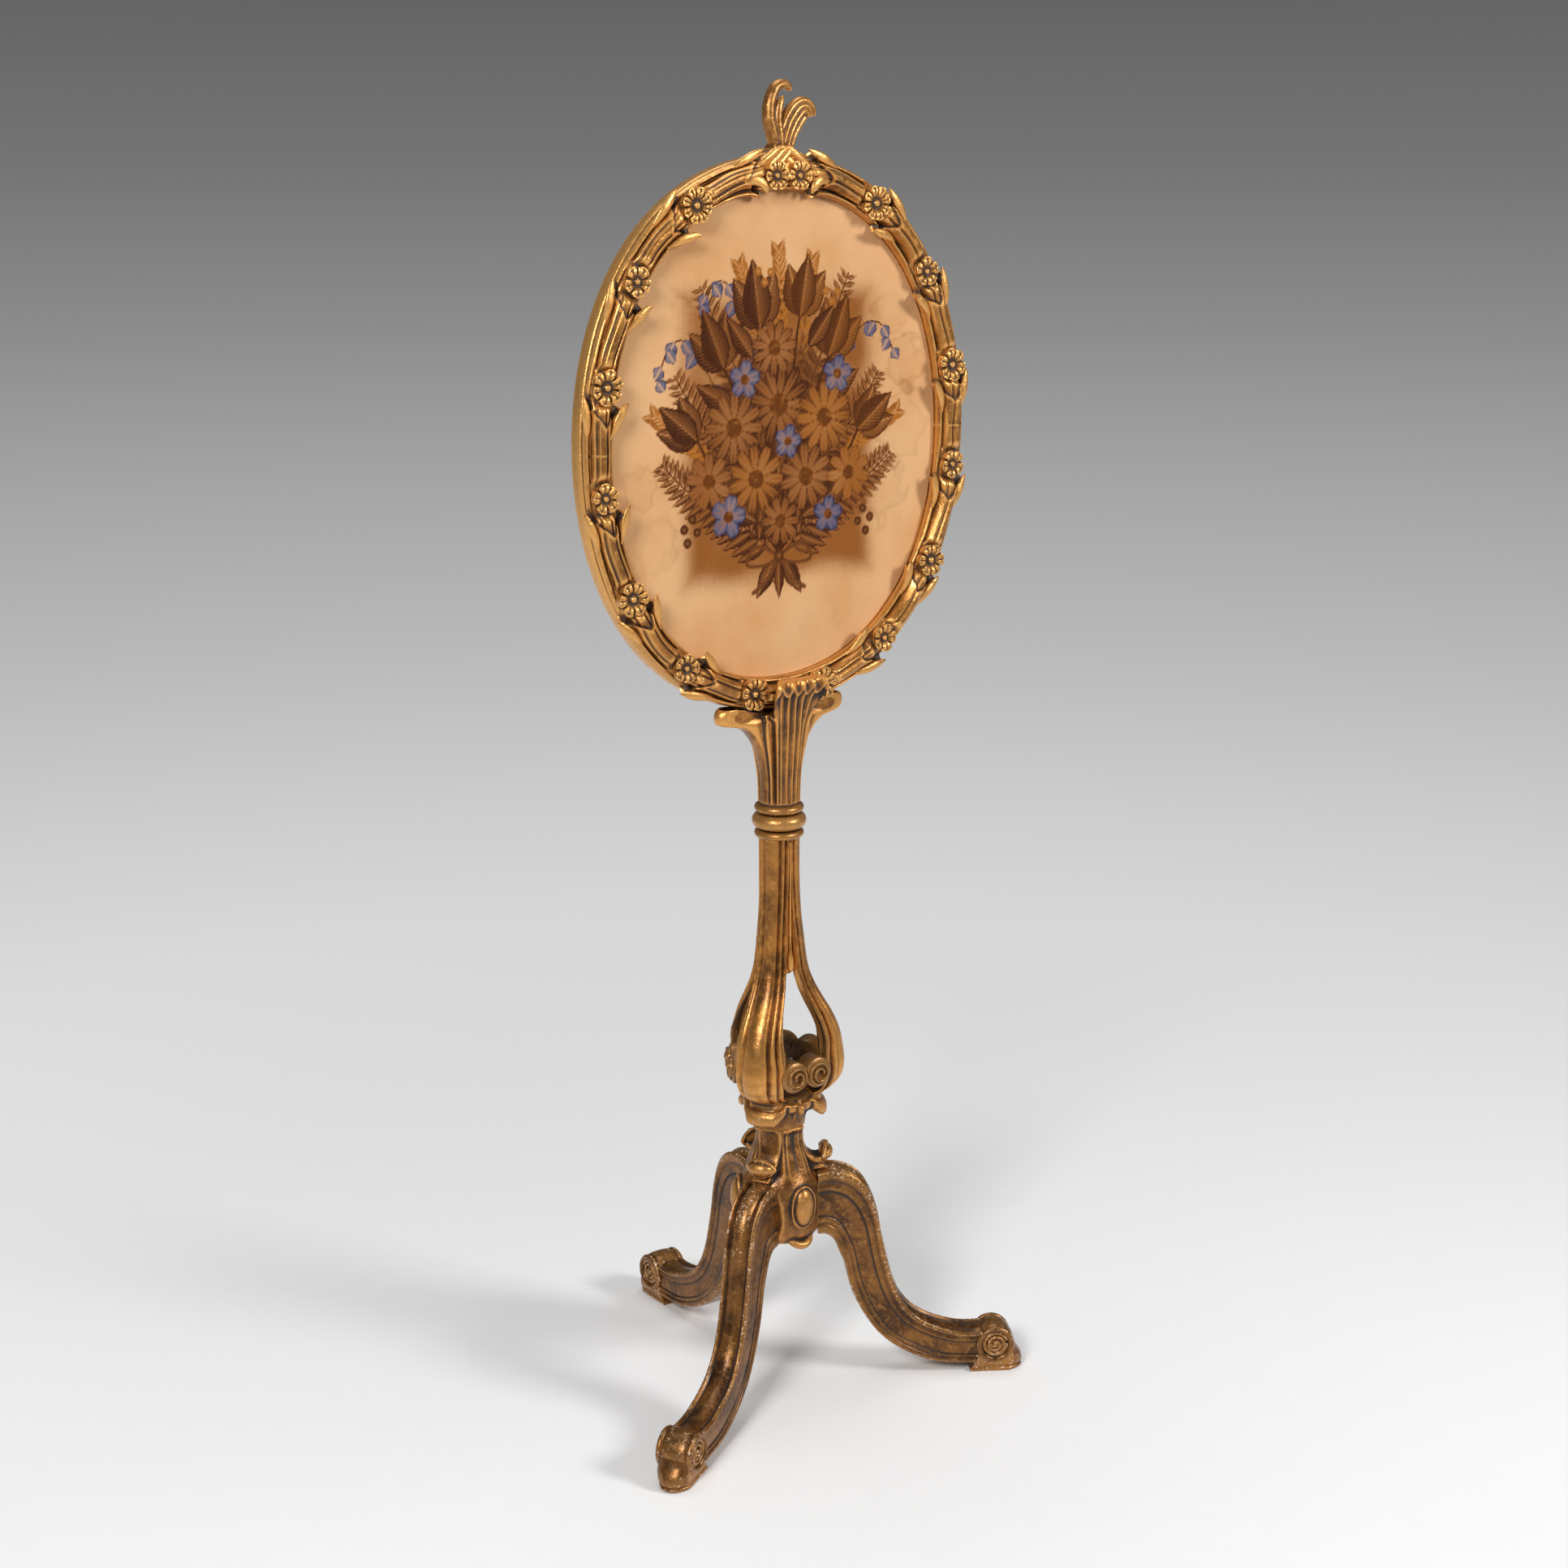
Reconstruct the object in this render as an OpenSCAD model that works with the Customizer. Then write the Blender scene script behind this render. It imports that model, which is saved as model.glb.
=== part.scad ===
// Giltwood pole screen: oval screen on a reeded pole and a tripod of scroll feet.
// Millimetres, +Z up, origin on the floor under the pole, the screen faces -Y.

/* [Tripod] */
// Distance from the pole axis to the middle of each foot scroll
foot_radius = 246; // [200:1:300]
// Diameter of the scroll at the end of each leg
foot_scroll_d = 45; // [36:1:56]
// Thickness of the sole under each foot scroll
sole_t = 11; // [6:1:16]
// Width of a leg across its beaded edges
leg_width = 38; // [30:1:46]
// Height of the top of the knees
knee_height = 256; // [220:1:300]
// Height of the hub between the knees and its underside
hub_height = 78; // [66:1:90]
// Distance from the pole axis to the flat face that carries a leg
hub_flat = 42; // [38:0.5:48]
// Turn of the tripod under the screen, degrees
base_turn = -3; // [-60:1:60]

/* [Pole] */
// Length of the neck between the knees and the shell collar
neck_length = 54; // [44:1:70]
// Diameter of the neck at its narrowest
neck_d = 53; // [44:1:60]
// Height of the shell collar
shell_height = 40; // [30:1:50]
// Length of the three stems, from the shell collar to the ring collar
stem_length = 289; // [240:1:340]
// Diameter of the reeded pole
shaft_d = 43; // [38:1:52]
// Diameter over the three stems at their widest
bulb_d = 142; // [116:1:160]
// Height of the ring collar
collar_height = 37; // [28:1:46]
// Diameter of the volutes between the stems
volute_d = 30; // [22:1:34]
// Height of the volutes above the foot of the stems
volute_lift = 19; // [14:1:24]

/* [Turning joint] */
// Diameter of the peg that carries the screen
peg_d = 20; // [16:1:22]
// Depth of the peg in its socket
peg_depth = 60; // [40:1:90]
// Length of the peg glued into the capital
peg_hold = 46; // [30:1:50]
// Radial clearance of the peg in its socket
peg_clearance = 0.08; // [0.02:0.01:0.10]
// Thickness of the leather washer
washer_t = 2; // [1:0.5:4]

/* [Capital] */
// Height of the leaf capital up to its seat
capital_height = 100; // [80:1:130]
// Reach of the two long leaves from the pole axis
leaf_reach = 84; // [70:1:105]
// Width of the two long leaves
leaf_w = 35; // [28:1:44]

/* [Frame] */
// Width of the oval, measured on the middle of the moulding
frame_w = 460; // [400:1:540]
// Height of the oval, measured on the middle of the moulding
frame_h = 531; // [460:1:620]
// Fullness of the shoulders of the oval beyond an ellipse
oval_fullness = 0.02; // [0:0.005:0.04]
// Width of the moulding
moulding_w = 34; // [28:1:40]
// Width of the lip that covers the edge of the cloth
lip = 8; // [5:0.5:10]
// Rise of the flower seats in front of the cloth
land_rise = 12; // [10:0.5:15]
// Rise of the stems between two flowers above the flower seats
crown_rise = 7; // [3:0.5:10]
// Reach of the leaf tips beyond the moulding
tip_reach = 8; // [3:0.5:12]
// Angle of the first flower from the top of the oval, degrees
flower_first = 29.5; // [24:0.5:32]
// Angle from one flower to the next, degrees
flower_step = 23.2; // [22:0.1:24]
// Diameter of the larger flowers
flower_d = 36; // [28:1:40]
// Height of the finial above the crest
finial_height = 67; // [50:1:85]

/* [Panel] */
// Thickness of the painted cloth
cloth_t = 0.8; // [0.5:0.1:1.2]
// Thickness of the strainer behind the cloth
strainer_t = 7; // [5:0.5:8]
// Width of the strainer
strainer_w = 26; // [18:1:40]
// Thickness of the backboard
board_t = 3; // [2:0.5:4]
// Diameter of the brads that hold the backboard
brad_d = 1.5; // [1:0.1:2.5]
// Length of the brads
brad_l = 11; // [8:0.5:14]

/* [Dowels] */
// Diameter of the two dowels of each leg
leg_dowel_d = 10; // [8:0.5:12]
// Length of the dowels of the legs
leg_dowel_l = 47; // [30:1:56]
// Diameter of the spigot of the pendant
spigot_d = 16; // [10:1:20]
// Length of the spigot of the pendant
spigot_l = 14; // [8:1:18]
// Diameter of the dowel between the hub and the shell collar
neck_dowel_d = 22; // [16:1:28]
// Length of that dowel in the neck
neck_dowel_l = 40; // [24:1:50]
// Diameter of the dowel under each stem
stem_dowel_d = 9; // [6:0.5:12]
// Length of the dowel under each stem
stem_dowel_l = 28; // [16:1:36]
// Diameter of the dowel between the capital and the frame
capital_dowel_d = 14; // [10:0.5:16]
// Length of that dowel
capital_dowel_l = 50; // [36:1:54]
// Diameter of the dowels between the halves of the frame
frame_dowel_d = 9; // [6:0.5:10]
// Length of the dowels between the halves of the frame
frame_dowel_l = 40; // [24:1:50]
// Diameter of the dowel under the finial
finial_dowel_d = 7; // [5:0.5:9]
// Length of the dowel under the finial
finial_dowel_l = 28; // [16:1:32]

/* [Hidden] */
$fn = 64;
// Gap between pieces that move on each other
gap = 0.25;
// Radial gap round a glued dowel
glue = 0.05;
// Free depth behind the end of a dowel
end_gap = 0.5;
// Play of the cloth, strainer and backboard in their rebate
panel_play = 0.5;
// Directions of the legs and of the stems above them
legs = [for (k = [0:2]) 90 + base_turn + 120 * k];
neck_height = knee_height + neck_length;
neck_r = neck_d / 2;
stem_foot = neck_height + shell_height;
stem_top = stem_foot + stem_length;
stand_height = stem_top + collar_height;
shaft_r = shaft_d / 2;
bulb_r = bulb_d / 2;
core_r = peg_d / 2 + 5;
core_foot = stem_foot + 0.47 * stem_length;
hub_r = hub_flat + 5.5;
hub_foot = knee_height - hub_height;
leg_dowel_z = [hub_foot + 0.3 * hub_height, hub_foot + 0.7 * hub_height];
foot_z = foot_scroll_d / 2 + sole_t;
capital_foot = stand_height + washer_t + 2 * gap;
frame_seat = capital_foot + capital_height;
oval_a = frame_w / 2;
oval_b = frame_h / 2;
oval_z = frame_seat + 3.5 + moulding_w / 2 + oval_b;
crest_z = oval_z + oval_b + moulding_w / 2 + 6;
// Depth of the moulding behind the cloth: what lies in the rebate and a little more
back_depth = cloth_t + strainer_t + board_t + brad_d + 0.7;
rebate_p = lip - moulding_w / 2;
panel_p = rebate_p - panel_play;
flowers = [for (k = [0:6]) flower_first + flower_step * k];
crest_flower_t = 3.7;
gilt = [0.72, 0.53, 0.24];
old_gilt = [0.55, 0.40, 0.18];
bare_wood = [0.66, 0.50, 0.33];

base_hub();
leg(0);  // leg_rear
leg(1);  // leg_left
leg(2);  // leg_right
leg_dowels();
hub_pendant();
neck_dowel();
shell_collar();
stem(0);  // stem_rear
stem(1);  // stem_left
stem(2);  // stem_right
stem_dowels();
pole_core();
ring_collar();
leather_washer();
screen_peg();
leaf_capital();
capital_dowel();
frame_lower_half();
frame_upper_half();
frame_dowels();
frame_flowers();
crest_flowers();
finial();
finial_dowel();
painted_cloth();
strainer();
backboard();
backboard_pins();

// Helpers

function mean(v) = [for (k = [0:len(v[0]) - 1]) let (c = [for (p = v) p[k]]) c * [for (p = v) 1] / len(v)];
function mix(a, b, t) = a * (1 - t) + b * t;
function clamp(x, lo, hi) = min(max(x, lo), hi);
// Smooth rise from 0 to 1
function ease(x) = let (c = clamp(x, 0, 1)) c * c * (3 - 2 * c);

// Point at t in 0..1 on a smooth curve through all the points of a list
function curve(pts, t) = let (
    n = len(pts) - 1, x = clamp(t, 0, 1) * n, i = min(floor(x), n - 1), u = x - i,
    p0 = pts[max(i - 1, 0)], p1 = pts[i], p2 = pts[i + 1], p3 = pts[min(i + 2, n)])
  0.5 * (2 * p1 + (p2 - p0) * u + (2 * p0 - 5 * p1 + 4 * p2 - p3) * u * u
    + (3 * p1 - p0 - 3 * p2 + p3) * u * u * u);
function smooth(pts, n) = [for (i = [0:n]) curve(pts, i / n)];

// Solid skin over rings that all have the same number of points
module loft(rings) {
  n = len(rings[0]);
  m = len(rings);
  pts = concat([for (r = rings) each r], [mean(rings[0]), mean(rings[m - 1])]);
  sides = [for (i = [0:m - 2], j = [0:n - 1]) let (a = i * n + j, b = i * n + (j + 1) % n)
    each [[a, a + n, b + n], [a, b + n, b]]];
  foot = [for (j = [0:n - 1]) [m * n, j, (j + 1) % n]];
  head = [for (j = [0:n - 1]) [m * n + 1, (m - 1) * n + (j + 1) % n, (m - 1) * n + j]];
  polyhedron(pts, concat(sides, foot, head), convexity = 8);
}

// Rod lying along +X from the axis, at height z
module rod(d, x0, x1, z) translate([x0, 0, z]) rotate([0, 90, 0]) cylinder(d = d, h = x1 - x0);

// Tripod

// Side view of a leg: share of the reach, share of the height of the knee or of the hub's underside
leg_out = [[0, 0.992], [0.09, 1], [0.195, 0.975], [0.275, 0.912], [0.33, 0.80], [0.362, 0.665],
  [0.395, 0.55], [0.43, 0.448], [0.48, 0.36], [0.555, 0.288], [0.665, 0.236], [0.82, 0.2],
  [0.98, 0.2]];
leg_in = [[0, 1], [0.05, 0.993], [0.092, 0.947], [0.121, 0.868], [0.15, 0.785], [0.17, 0.684],
  [0.195, 0.585], [0.235, 0.485], [0.285, 0.385], [0.36, 0.277], [0.48, 0.172], [0.66, 0.085],
  [0.94, 0.06]];
// Half section of a leg: share of the half width, share of the way from the inner to the outer edge
leg_half = [[0, 1], [0.42, 0.945], [0.66, 0.925], [0.84, 0.975], [1, 0.90], [0.9, 0.80], [0.84, 0.5],
  [0.9, 0.22], [0.97, 0.12], [0.8, 0.02], [0.35, 0]];
leg_section = concat(leg_half, [for (k = [len(leg_half) - 1:-1:1]) [-leg_half[k][0], leg_half[k][1]]]);

function leg_point(f, z) = [hub_flat + f[0] * (foot_radius - hub_flat), 0, f[1] * z];
function leg_ring(t) = let (
    o = leg_point(curve(leg_out, t), knee_height), i = leg_point(curve(leg_in, t), hub_foot),
    w = leg_width / 2 * (1 - 0.12 * sin(180 * t)))
  [for (s = leg_section) mix(i, o, s[1]) - [0, s[0] * w, 0]];

module leg(k) color(old_gilt) rotate([0, 0, legs[k]]) difference() {
  union() {
    loft([for (i = [0:22]) leg_ring(i / 22)]);
    foot();
  }
  for (z = leg_dowel_z) rod(leg_dowel_d + 2 * glue, hub_flat - 1, hub_flat + leg_dowel_l / 2 + end_gap, z);
}

// Scroll at the end of a leg; its front runs down into a rounded toe with a flat sole
module foot() {
  translate([foot_radius, 0, foot_z]) rotate([90, 0, 0])
    cylinder(d = foot_scroll_d, h = leg_width + 4, center = true);
  toe = foot_radius + foot_scroll_d * 0.76;
  heel = foot_radius - foot_scroll_d * 0.62;
  half = leg_width / 2 - 1;
  intersection() {
    translate([0, half, 0]) rotate([90, 0, 0]) linear_extrude(2 * half)
      polygon([[heel, 0], [toe - 5, 0], [toe - 1, sole_t * 0.3], [toe, sole_t * 0.75],
        [toe - 4, sole_t * 1.2], [toe - 9, sole_t * 1.7], [foot_radius + foot_scroll_d * 0.49, foot_z * 0.9],
        [foot_radius, foot_z], [heel + 6, sole_t * 1.5], [heel, sole_t * 0.5]]);
    linear_extrude(foot_z) polygon(concat([[heel, -half]], [for (f = [[0.9, -1], [0.38, -0.8], [0.1, -0.45],
      [0, 0], [0.1, 0.45], [0.38, 0.8], [0.9, 1]]) [toe - f[0] * half, f[1] * half]], [[heel, half]]));
  }
}

module leg_dowels() color(bare_wood) for (a = legs) rotate([0, 0, a])
  for (z = leg_dowel_z) rod(leg_dowel_d, hub_flat - leg_dowel_l / 2, hub_flat + leg_dowel_l / 2, z);

// Turned hub with a neck, three flats for the legs and an upturned scroll over each knee
module base_hub() color(old_gilt) difference() {
  union() {
    difference() {
      rotate_extrude() polygon(concat([[0, hub_foot]], smooth([[hub_r - 13, hub_foot],
        [hub_r - 4, hub_foot + 6], [hub_r, hub_foot + 0.26 * hub_height],
        [hub_r, hub_foot + 0.54 * hub_height], [hub_r - 3, hub_foot + 0.82 * hub_height],
        [hub_r - 9, knee_height + 0.5],
        [(hub_r - 9 + neck_r) / 2, mix(knee_height, neck_height, 0.3)],
        [neck_r, mix(knee_height, neck_height, 0.62)], [neck_r, neck_height - 8],
        [neck_r + 2, neck_height]], 22), [[0, neck_height]]));
      for (a = legs) rotate([0, 0, a]) translate([hub_flat, -40, hub_foot - 10])
        cube([40, 80, knee_height - hub_foot + 10]);
    }
    for (a = legs) rotate([0, 0, a]) knee_scroll();
    for (a = legs) rotate([0, 0, a + 60]) translate([hub_r - 2, 0, hub_foot + 0.56 * hub_height])
      scale([8, 13, 21]) sphere(r = 1);
  }
  for (a = legs) rotate([0, 0, a]) for (z = leg_dowel_z)
    rod(leg_dowel_d + 2 * glue, hub_flat - leg_dowel_l / 2 - end_gap, hub_flat + 1, z);
  translate([0, 0, hub_foot - 1]) cylinder(d = spigot_d + 2 * glue, h = spigot_l + end_gap + 1);
  translate([0, 0, neck_height - neck_dowel_l - end_gap])
    cylinder(d = neck_dowel_d + 2 * glue, h = neck_dowel_l + 10);
}

// Rib that sweeps from the neck out over the knee and turns up at its tip
module knee_scroll() {
  z0 = knee_height + 0.4;
  dz = neck_height - z0;
  top = smooth([[neck_r + 1, z0 + dz * 0.98], [neck_r + 1.5, z0 + dz * 0.62], [neck_r + 6, z0 + dz * 0.36],
    [neck_r + 11, z0 + dz * 0.25], [neck_r + 19, z0 + dz * 0.3], [neck_r + 26, z0 + dz * 0.45],
    [neck_r + 30, z0 + dz * 0.4], [neck_r + 32, z0 + dz * 0.22], [neck_r + 28, z0]], 24);
  translate([0, 15, 0]) rotate([90, 0, 0]) linear_extrude(30)
    polygon(concat([[neck_r - 8, z0 + 2], [neck_r - 8, z0 + dz * 0.98]], top, [[hub_flat, z0]]));
}

// Turned drop under the hub
module hub_pendant() color(old_gilt) {
  rotate_extrude() polygon(concat(smooth([[0, hub_foot - 15], [5, hub_foot - 13], [8, hub_foot - 9],
    [12, hub_foot - 6], [16, hub_foot - 3], [17, hub_foot]], 12), [[0, hub_foot]]));
  translate([0, 0, hub_foot - 0.5]) cylinder(d = spigot_d, h = spigot_l + 0.5);
}

module neck_dowel() color(bare_wood) translate([0, 0, neck_height - neck_dowel_l])
  cylinder(d = neck_dowel_d, h = neck_dowel_l + shell_height - 8);

// Pole

// Collar of three rolled shell lobes under the stems
shell_lobe = [[0, 0], [0.1, 0.18], [0.45, 0.42], [0.85, 0.52], [1.08, 0.44], [1.22, 0.52], [1.24, 0.74],
  [1.12, 0.9], [1, 1]];
shell_gap = [[0, 0], [0.05, 0.2], [0.2, 0.45], [0.42, 0.62], [0.55, 0.66], [0.62, 0.74], [0.62, 0.84],
  [0.58, 0.94], [0.55, 1]];
function shell_ring(i) = [for (j = [0:41]) let (
    a = legs[0] + 360 / 42 * j, w = pow(0.5 + 0.5 * cos(3 * (a - legs[0])), 0.8),
    f = mix(shell_gap[i], shell_lobe[i], w), r = neck_r + 2 + f[0] * 18)
  [r * cos(a), r * sin(a), neck_height + f[1] * shell_height]];

module shell_collar() color(old_gilt) difference() {
  loft([for (i = [0:len(shell_lobe) - 1]) shell_ring(i)]);
  translate([0, 0, neck_height - 1]) cylinder(d = neck_dowel_d + 2 * glue, h = shell_height - 7 + end_gap);
  for (a = legs) rotate([0, 0, a]) translate([stem_dowel_r, 0, stem_foot - stem_dowel_l / 2 - end_gap])
    cylinder(d = stem_dowel_d + 2 * glue, h = stem_dowel_l);
}

// Outer radius of a stem: height share from the foot, share of the way from pole to bulb
stem_swell = [[0, 0.62], [0.02, 0.80], [0.052, 0.935], [0.104, 1], [0.163, 0.967], [0.225, 0.902],
  [0.301, 0.728], [0.363, 0.522], [0.422, 0.337], [0.484, 0.207], [0.547, 0.141], [0.61, 0.098],
  [0.675, 0.054], [0.76, 0.017], [0.87, 0], [1, 0]];
// Radius of the stem's own arc, its thickness and its half angle along the height
stem_arc = [[0, 1.25], [0.1, 1.4], [0.3, 1.3], [0.5, 1.08], [0.65, 1], [1, 1]];
stem_thick = [[0, 20], [0.05, 19], [0.15, 17], [0.35, 18], [0.45, 14], [0.55, 8], [0.65, 0], [1, 0]];
stem_open = [[0, 70], [0.05, 76], [0.12, 76], [0.22, 66], [0.34, 59.6], [1, 59.6]];
// Beads and hollows across the face: share of the half angle, rise
stem_face = [[-1, -1.4], [-0.9, 0.4], [-0.79, -1.1], [-0.68, 0.6], [-0.55, -1.3], [-0.3, 0], [0, 0.5],
  [0.3, 0], [0.55, -1.3], [0.68, 0.6], [0.79, -1.1], [0.9, 0.4], [1, -1.4]];
stem_dowel_r = shaft_r + stem_swell[0][1] * (bulb_r - shaft_r) - 11;

function stem_ring(h) = let (
    ro = shaft_r + lookup(h, stem_swell) * (bulb_r - shaft_r),
    rho = shaft_r * lookup(h, stem_arc), psi = lookup(h, stem_open),
    th = max(lookup(h, stem_thick), shaft_r - core_r + 0.5),
    c = ro - rho, z = mix(stem_foot, stem_top, h))
  concat([for (f = stem_face) let (a = f[0] * psi, r = rho + f[1] - 0.5)
      [c + r * cos(a), r * sin(a), z]],
    [for (g = [1, 0.5, 0, -0.5, -1]) let (a = g * psi, r = rho - th) [c + r * cos(a), r * sin(a), z]]);
stem_stations = [for (s = stem_swell) s[0]];

// One of the three reeded stems, with a volute at each side above its foot
module stem(k) color(gilt) rotate([0, 0, legs[k]]) difference() {
  union() {
    loft([for (h = stem_stations) stem_ring(h)]);
    for (s = [-1, 1]) rotate([0, 0, 60 * s]) translate([0, -s * (volute_d / 2 + 0.15), 0])
      rod(volute_d, bulb_r - 40, bulb_r - 11, stem_foot + volute_d / 2 + volute_lift);
  }
  translate([0, 0, core_foot]) cylinder(r = core_r + glue, h = stand_height - core_foot);
  translate([stem_dowel_r, 0, stem_foot - 1])
    cylinder(d = stem_dowel_d + 2 * glue, h = stem_dowel_l / 2 + end_gap + 1);
}

module stem_dowels() color(bare_wood) for (a = legs) rotate([0, 0, a])
  translate([stem_dowel_r, 0, stem_foot - stem_dowel_l / 2]) cylinder(d = stem_dowel_d, h = stem_dowel_l);

// Core inside the stems with the socket of the peg
module pole_core() color(bare_wood) difference() {
  translate([0, 0, core_foot]) cylinder(r = core_r, h = stand_height - core_foot);
  translate([0, 0, stand_height - peg_depth - 4]) cylinder(r = peg_d / 2 + peg_clearance, h = peg_depth + 5);
}

// Points of a half-round bead from z0 to z1 standing on radius r
function bead(r, z0, z1) = [for (a = [-90:15:90])
  [r + (z1 - z0) / 2 * cos(a), (z0 + z1) / 2 + (z1 - z0) / 2 * sin(a)]];

module ring_collar() color(gilt) let (r = shaft_r + 0.8, h = collar_height)
  translate([0, 0, stem_top]) rotate_extrude() polygon(concat([[core_r + glue, 0]],
    bead(r, 0, h * 0.24), bead(r - 1.5, h * 0.27, h * 0.73), bead(r, h * 0.76, h), [[core_r + glue, h]]));

// Turning joint

module leather_washer() color([0.25, 0.15, 0.09]) translate([0, 0, stand_height + gap])
  difference() {
    cylinder(r = shaft_r - 0.5, h = washer_t);
    translate([0, 0, -1]) cylinder(r = peg_d / 2 + peg_clearance, h = washer_t + 2);
  }

module screen_peg() color(bare_wood) translate([0, 0, stand_height - peg_depth])
  cylinder(d = peg_d, h = peg_depth + washer_t + 2 * gap + peg_hold);

// Capital

// Side views of the capital: share of the reach beyond the pole, share of the height
leaf_long = [[0, 0], [0.01, 0.25], [0.05, 0.42], [0.12, 0.57], [0.24, 0.70], [0.39, 0.81], [0.57, 0.875],
  [0.78, 0.905], [0.95, 0.935], [1, 1.01], [0.95, 1.085], [0.8, 1.1], [0.45, 1.04], [0.05, 1], [-0.03, 1]];
leaf_short = [[0, 0], [0.01, 0.25], [0.04, 0.46], [0.08, 0.64], [0.12, 0.80], [0.155, 0.96], [0.19, 1.1],
  [0.235, 1.22], [0.305, 1.31], [0.35, 1.35], [0.34, 1.41], [0.24, 1.40], [0.12, 1.25], [0.04, 1],
  [-0.03, 1]];
leaf_valley = [[0, 0], [0.005, 0.25], [0.025, 0.46], [0.06, 0.64], [0.09, 0.80], [0.125, 0.90], [0.14, 0.94],
  [0.145, 0.96], [0.145, 0.975], [0.14, 0.985], [0.12, 0.995], [0.09, 1], [0.05, 1], [0.01, 1], [-0.03, 1]];
// Width of the flanks of a long leaf, and angles between which its flanks and those of a short leaf run out
leaf_flank = 15;
long_angle = [28, 44];
short_angle = [30, 46];
// Angles of the columns in a quarter of the capital, closest together on the long leaf
leaf_angles = [0, 4, 8, 12, 17, 24, 34, 46, 60, 75, 90];
capital_angles = [for (q = [0:3], k = [0:9])
  q % 2 == 0 ? q * 90 + leaf_angles[k] : q * 90 + 90 - leaf_angles[10 - k]];
function fade(a, limits) = ease((limits[1] - a) / (limits[1] - limits[0]));
function capital_ring(i) = [for (a = capital_angles) let (
    off = acos(abs(cos(a))), reach = leaf_reach - shaft_r,
    aside = (shaft_r + leaf_long[i][0] * reach) * sin(off),
    wl = ease(((leaf_w + leaf_flank) / 2 - aside) / leaf_flank) * fade(off, long_angle),
    ws = fade(90 - off, short_angle) * (1 - wl),
    f = leaf_long[i] * wl + leaf_short[i] * ws + leaf_valley[i] * (1 - wl - ws), r = shaft_r + f[0] * reach)
  [r * cos(a), r * sin(a), capital_foot + f[1] * capital_height]];

module leaf_capital() color(gilt) difference() {
  loft([for (i = [0:len(leaf_long) - 1]) capital_ring(i)]);
  translate([0, 0, capital_foot - 1]) cylinder(d = peg_d + 2 * glue, h = peg_hold + end_gap + 1);
  translate([0, 0, frame_seat - capital_dowel_l / 2 - end_gap])
    cylinder(d = capital_dowel_d + 2 * glue, h = capital_dowel_l);
}

module capital_dowel() color(bare_wood) translate([0, 0, frame_seat - capital_dowel_l / 2])
  cylinder(d = capital_dowel_d, h = capital_dowel_l);

// Frame

function oval_swell(t) = 1 + oval_fullness * pow(sin(2 * t), 2);
function oval_normal(t) = let (m = oval_swell(t), g = 2 * oval_fullness * sin(4 * t),
    n = [oval_b * (sin(t) * m - cos(t) * g), oval_a * (cos(t) * m + sin(t) * g)]) n / norm(n);
function oval_point(t, p) = [oval_a * sin(t), oval_b * cos(t)] * oval_swell(t) + [0, oval_z]
  + p * oval_normal(t);
// Angle from the top of the oval, the same on both sides
function side_angle(t) = let (m = (t + 360) % 360) m > 180 ? 360 - m : m;
// How far the leaf tips stand out and how flat the moulding is at an angle
function tip_at(t) = let (s = side_angle(t)) max([for (k = [0:5]) let (d = s - flowers[k])
  d < 5.4 || d > 13 ? 0 : d < 6 ? (d - 5.4) / 0.6 : pow((13 - d) / 7, 1.6)]);
function land_at(t) = let (s = side_angle(t)) s < 8.6 ? 1 : max([for (f = flowers) let (d = s - f)
  abs(d) <= 4.7 ? 1 : d > 0 ? clamp((5.4 - d) / 0.7, 0, 1) : clamp((9 + d) / 4.3, 0, 1)]);
function frame_ring(t) = let (
    w = moulding_w / 2, k = w - 8, e = tip_at(t) * tip_reach, up = tip_at(t) * 3.5, l = land_at(t),
    q = land_rise + (1 - l) * crown_rise, n = -(1 - l) * 2, s = l * land_rise + (1 - l) * (q - 3.5))
  [for (f = [[rebate_p, -back_depth], [w, -back_depth], [w, 0], [w + e, 3 + up], [w + e, 7 + up],
      [w - 3 + e * 0.8, 10.5 + up], [w - 6.5 + e * 0.3, 8.5], [k, s], [k / 2, q], [0, q + n], [-k / 2, q],
      [-k, s], [6.5 - w - e * 0.3, 8], [3 - w - e * 0.8, 10 + up], [-w - e, 7 + up], [-w - e, 3 + up],
      [-w, 1.5], [-w, 0], [rebate_p, 0]])
    let (o = oval_point(t, f[0])) [o[0], -f[1], o[1]]];
// Angles of the rings on one side of the oval between two limits
function side_rings(a, b) = [for (x = sorted(concat([a], [3, 8.5, 12, 16], [for (f = flowers)
    each [f - 9, f - 4.7, f, f + 4.7, f + 5.4, f + 6, f + 8.5, f + 13]], [b]))) if (x >= a && x <= b) x];
function sorted(v) = len(v) < 2 ? v : let (m = v[floor(len(v) / 2)]) concat(
  sorted([for (x = v) if (x < m - 0.2) x]), [m], sorted([for (x = v) if (x > m + 0.2) x]));

module frame_upper_half() color(gilt) difference() {
  s = side_rings(0, 90);
  union() {
    loft([for (x = concat([for (k = [len(s) - 1:-1:1]) -s[k]], s)) frame_ring(x)]);
    crest();
  }
  frame_dowel_bores();
  translate([0, 0, crest_z - finial_dowel_l * 0.6 - end_gap])
    cylinder(d = finial_dowel_d + 2 * glue, h = finial_dowel_l);
}

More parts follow.
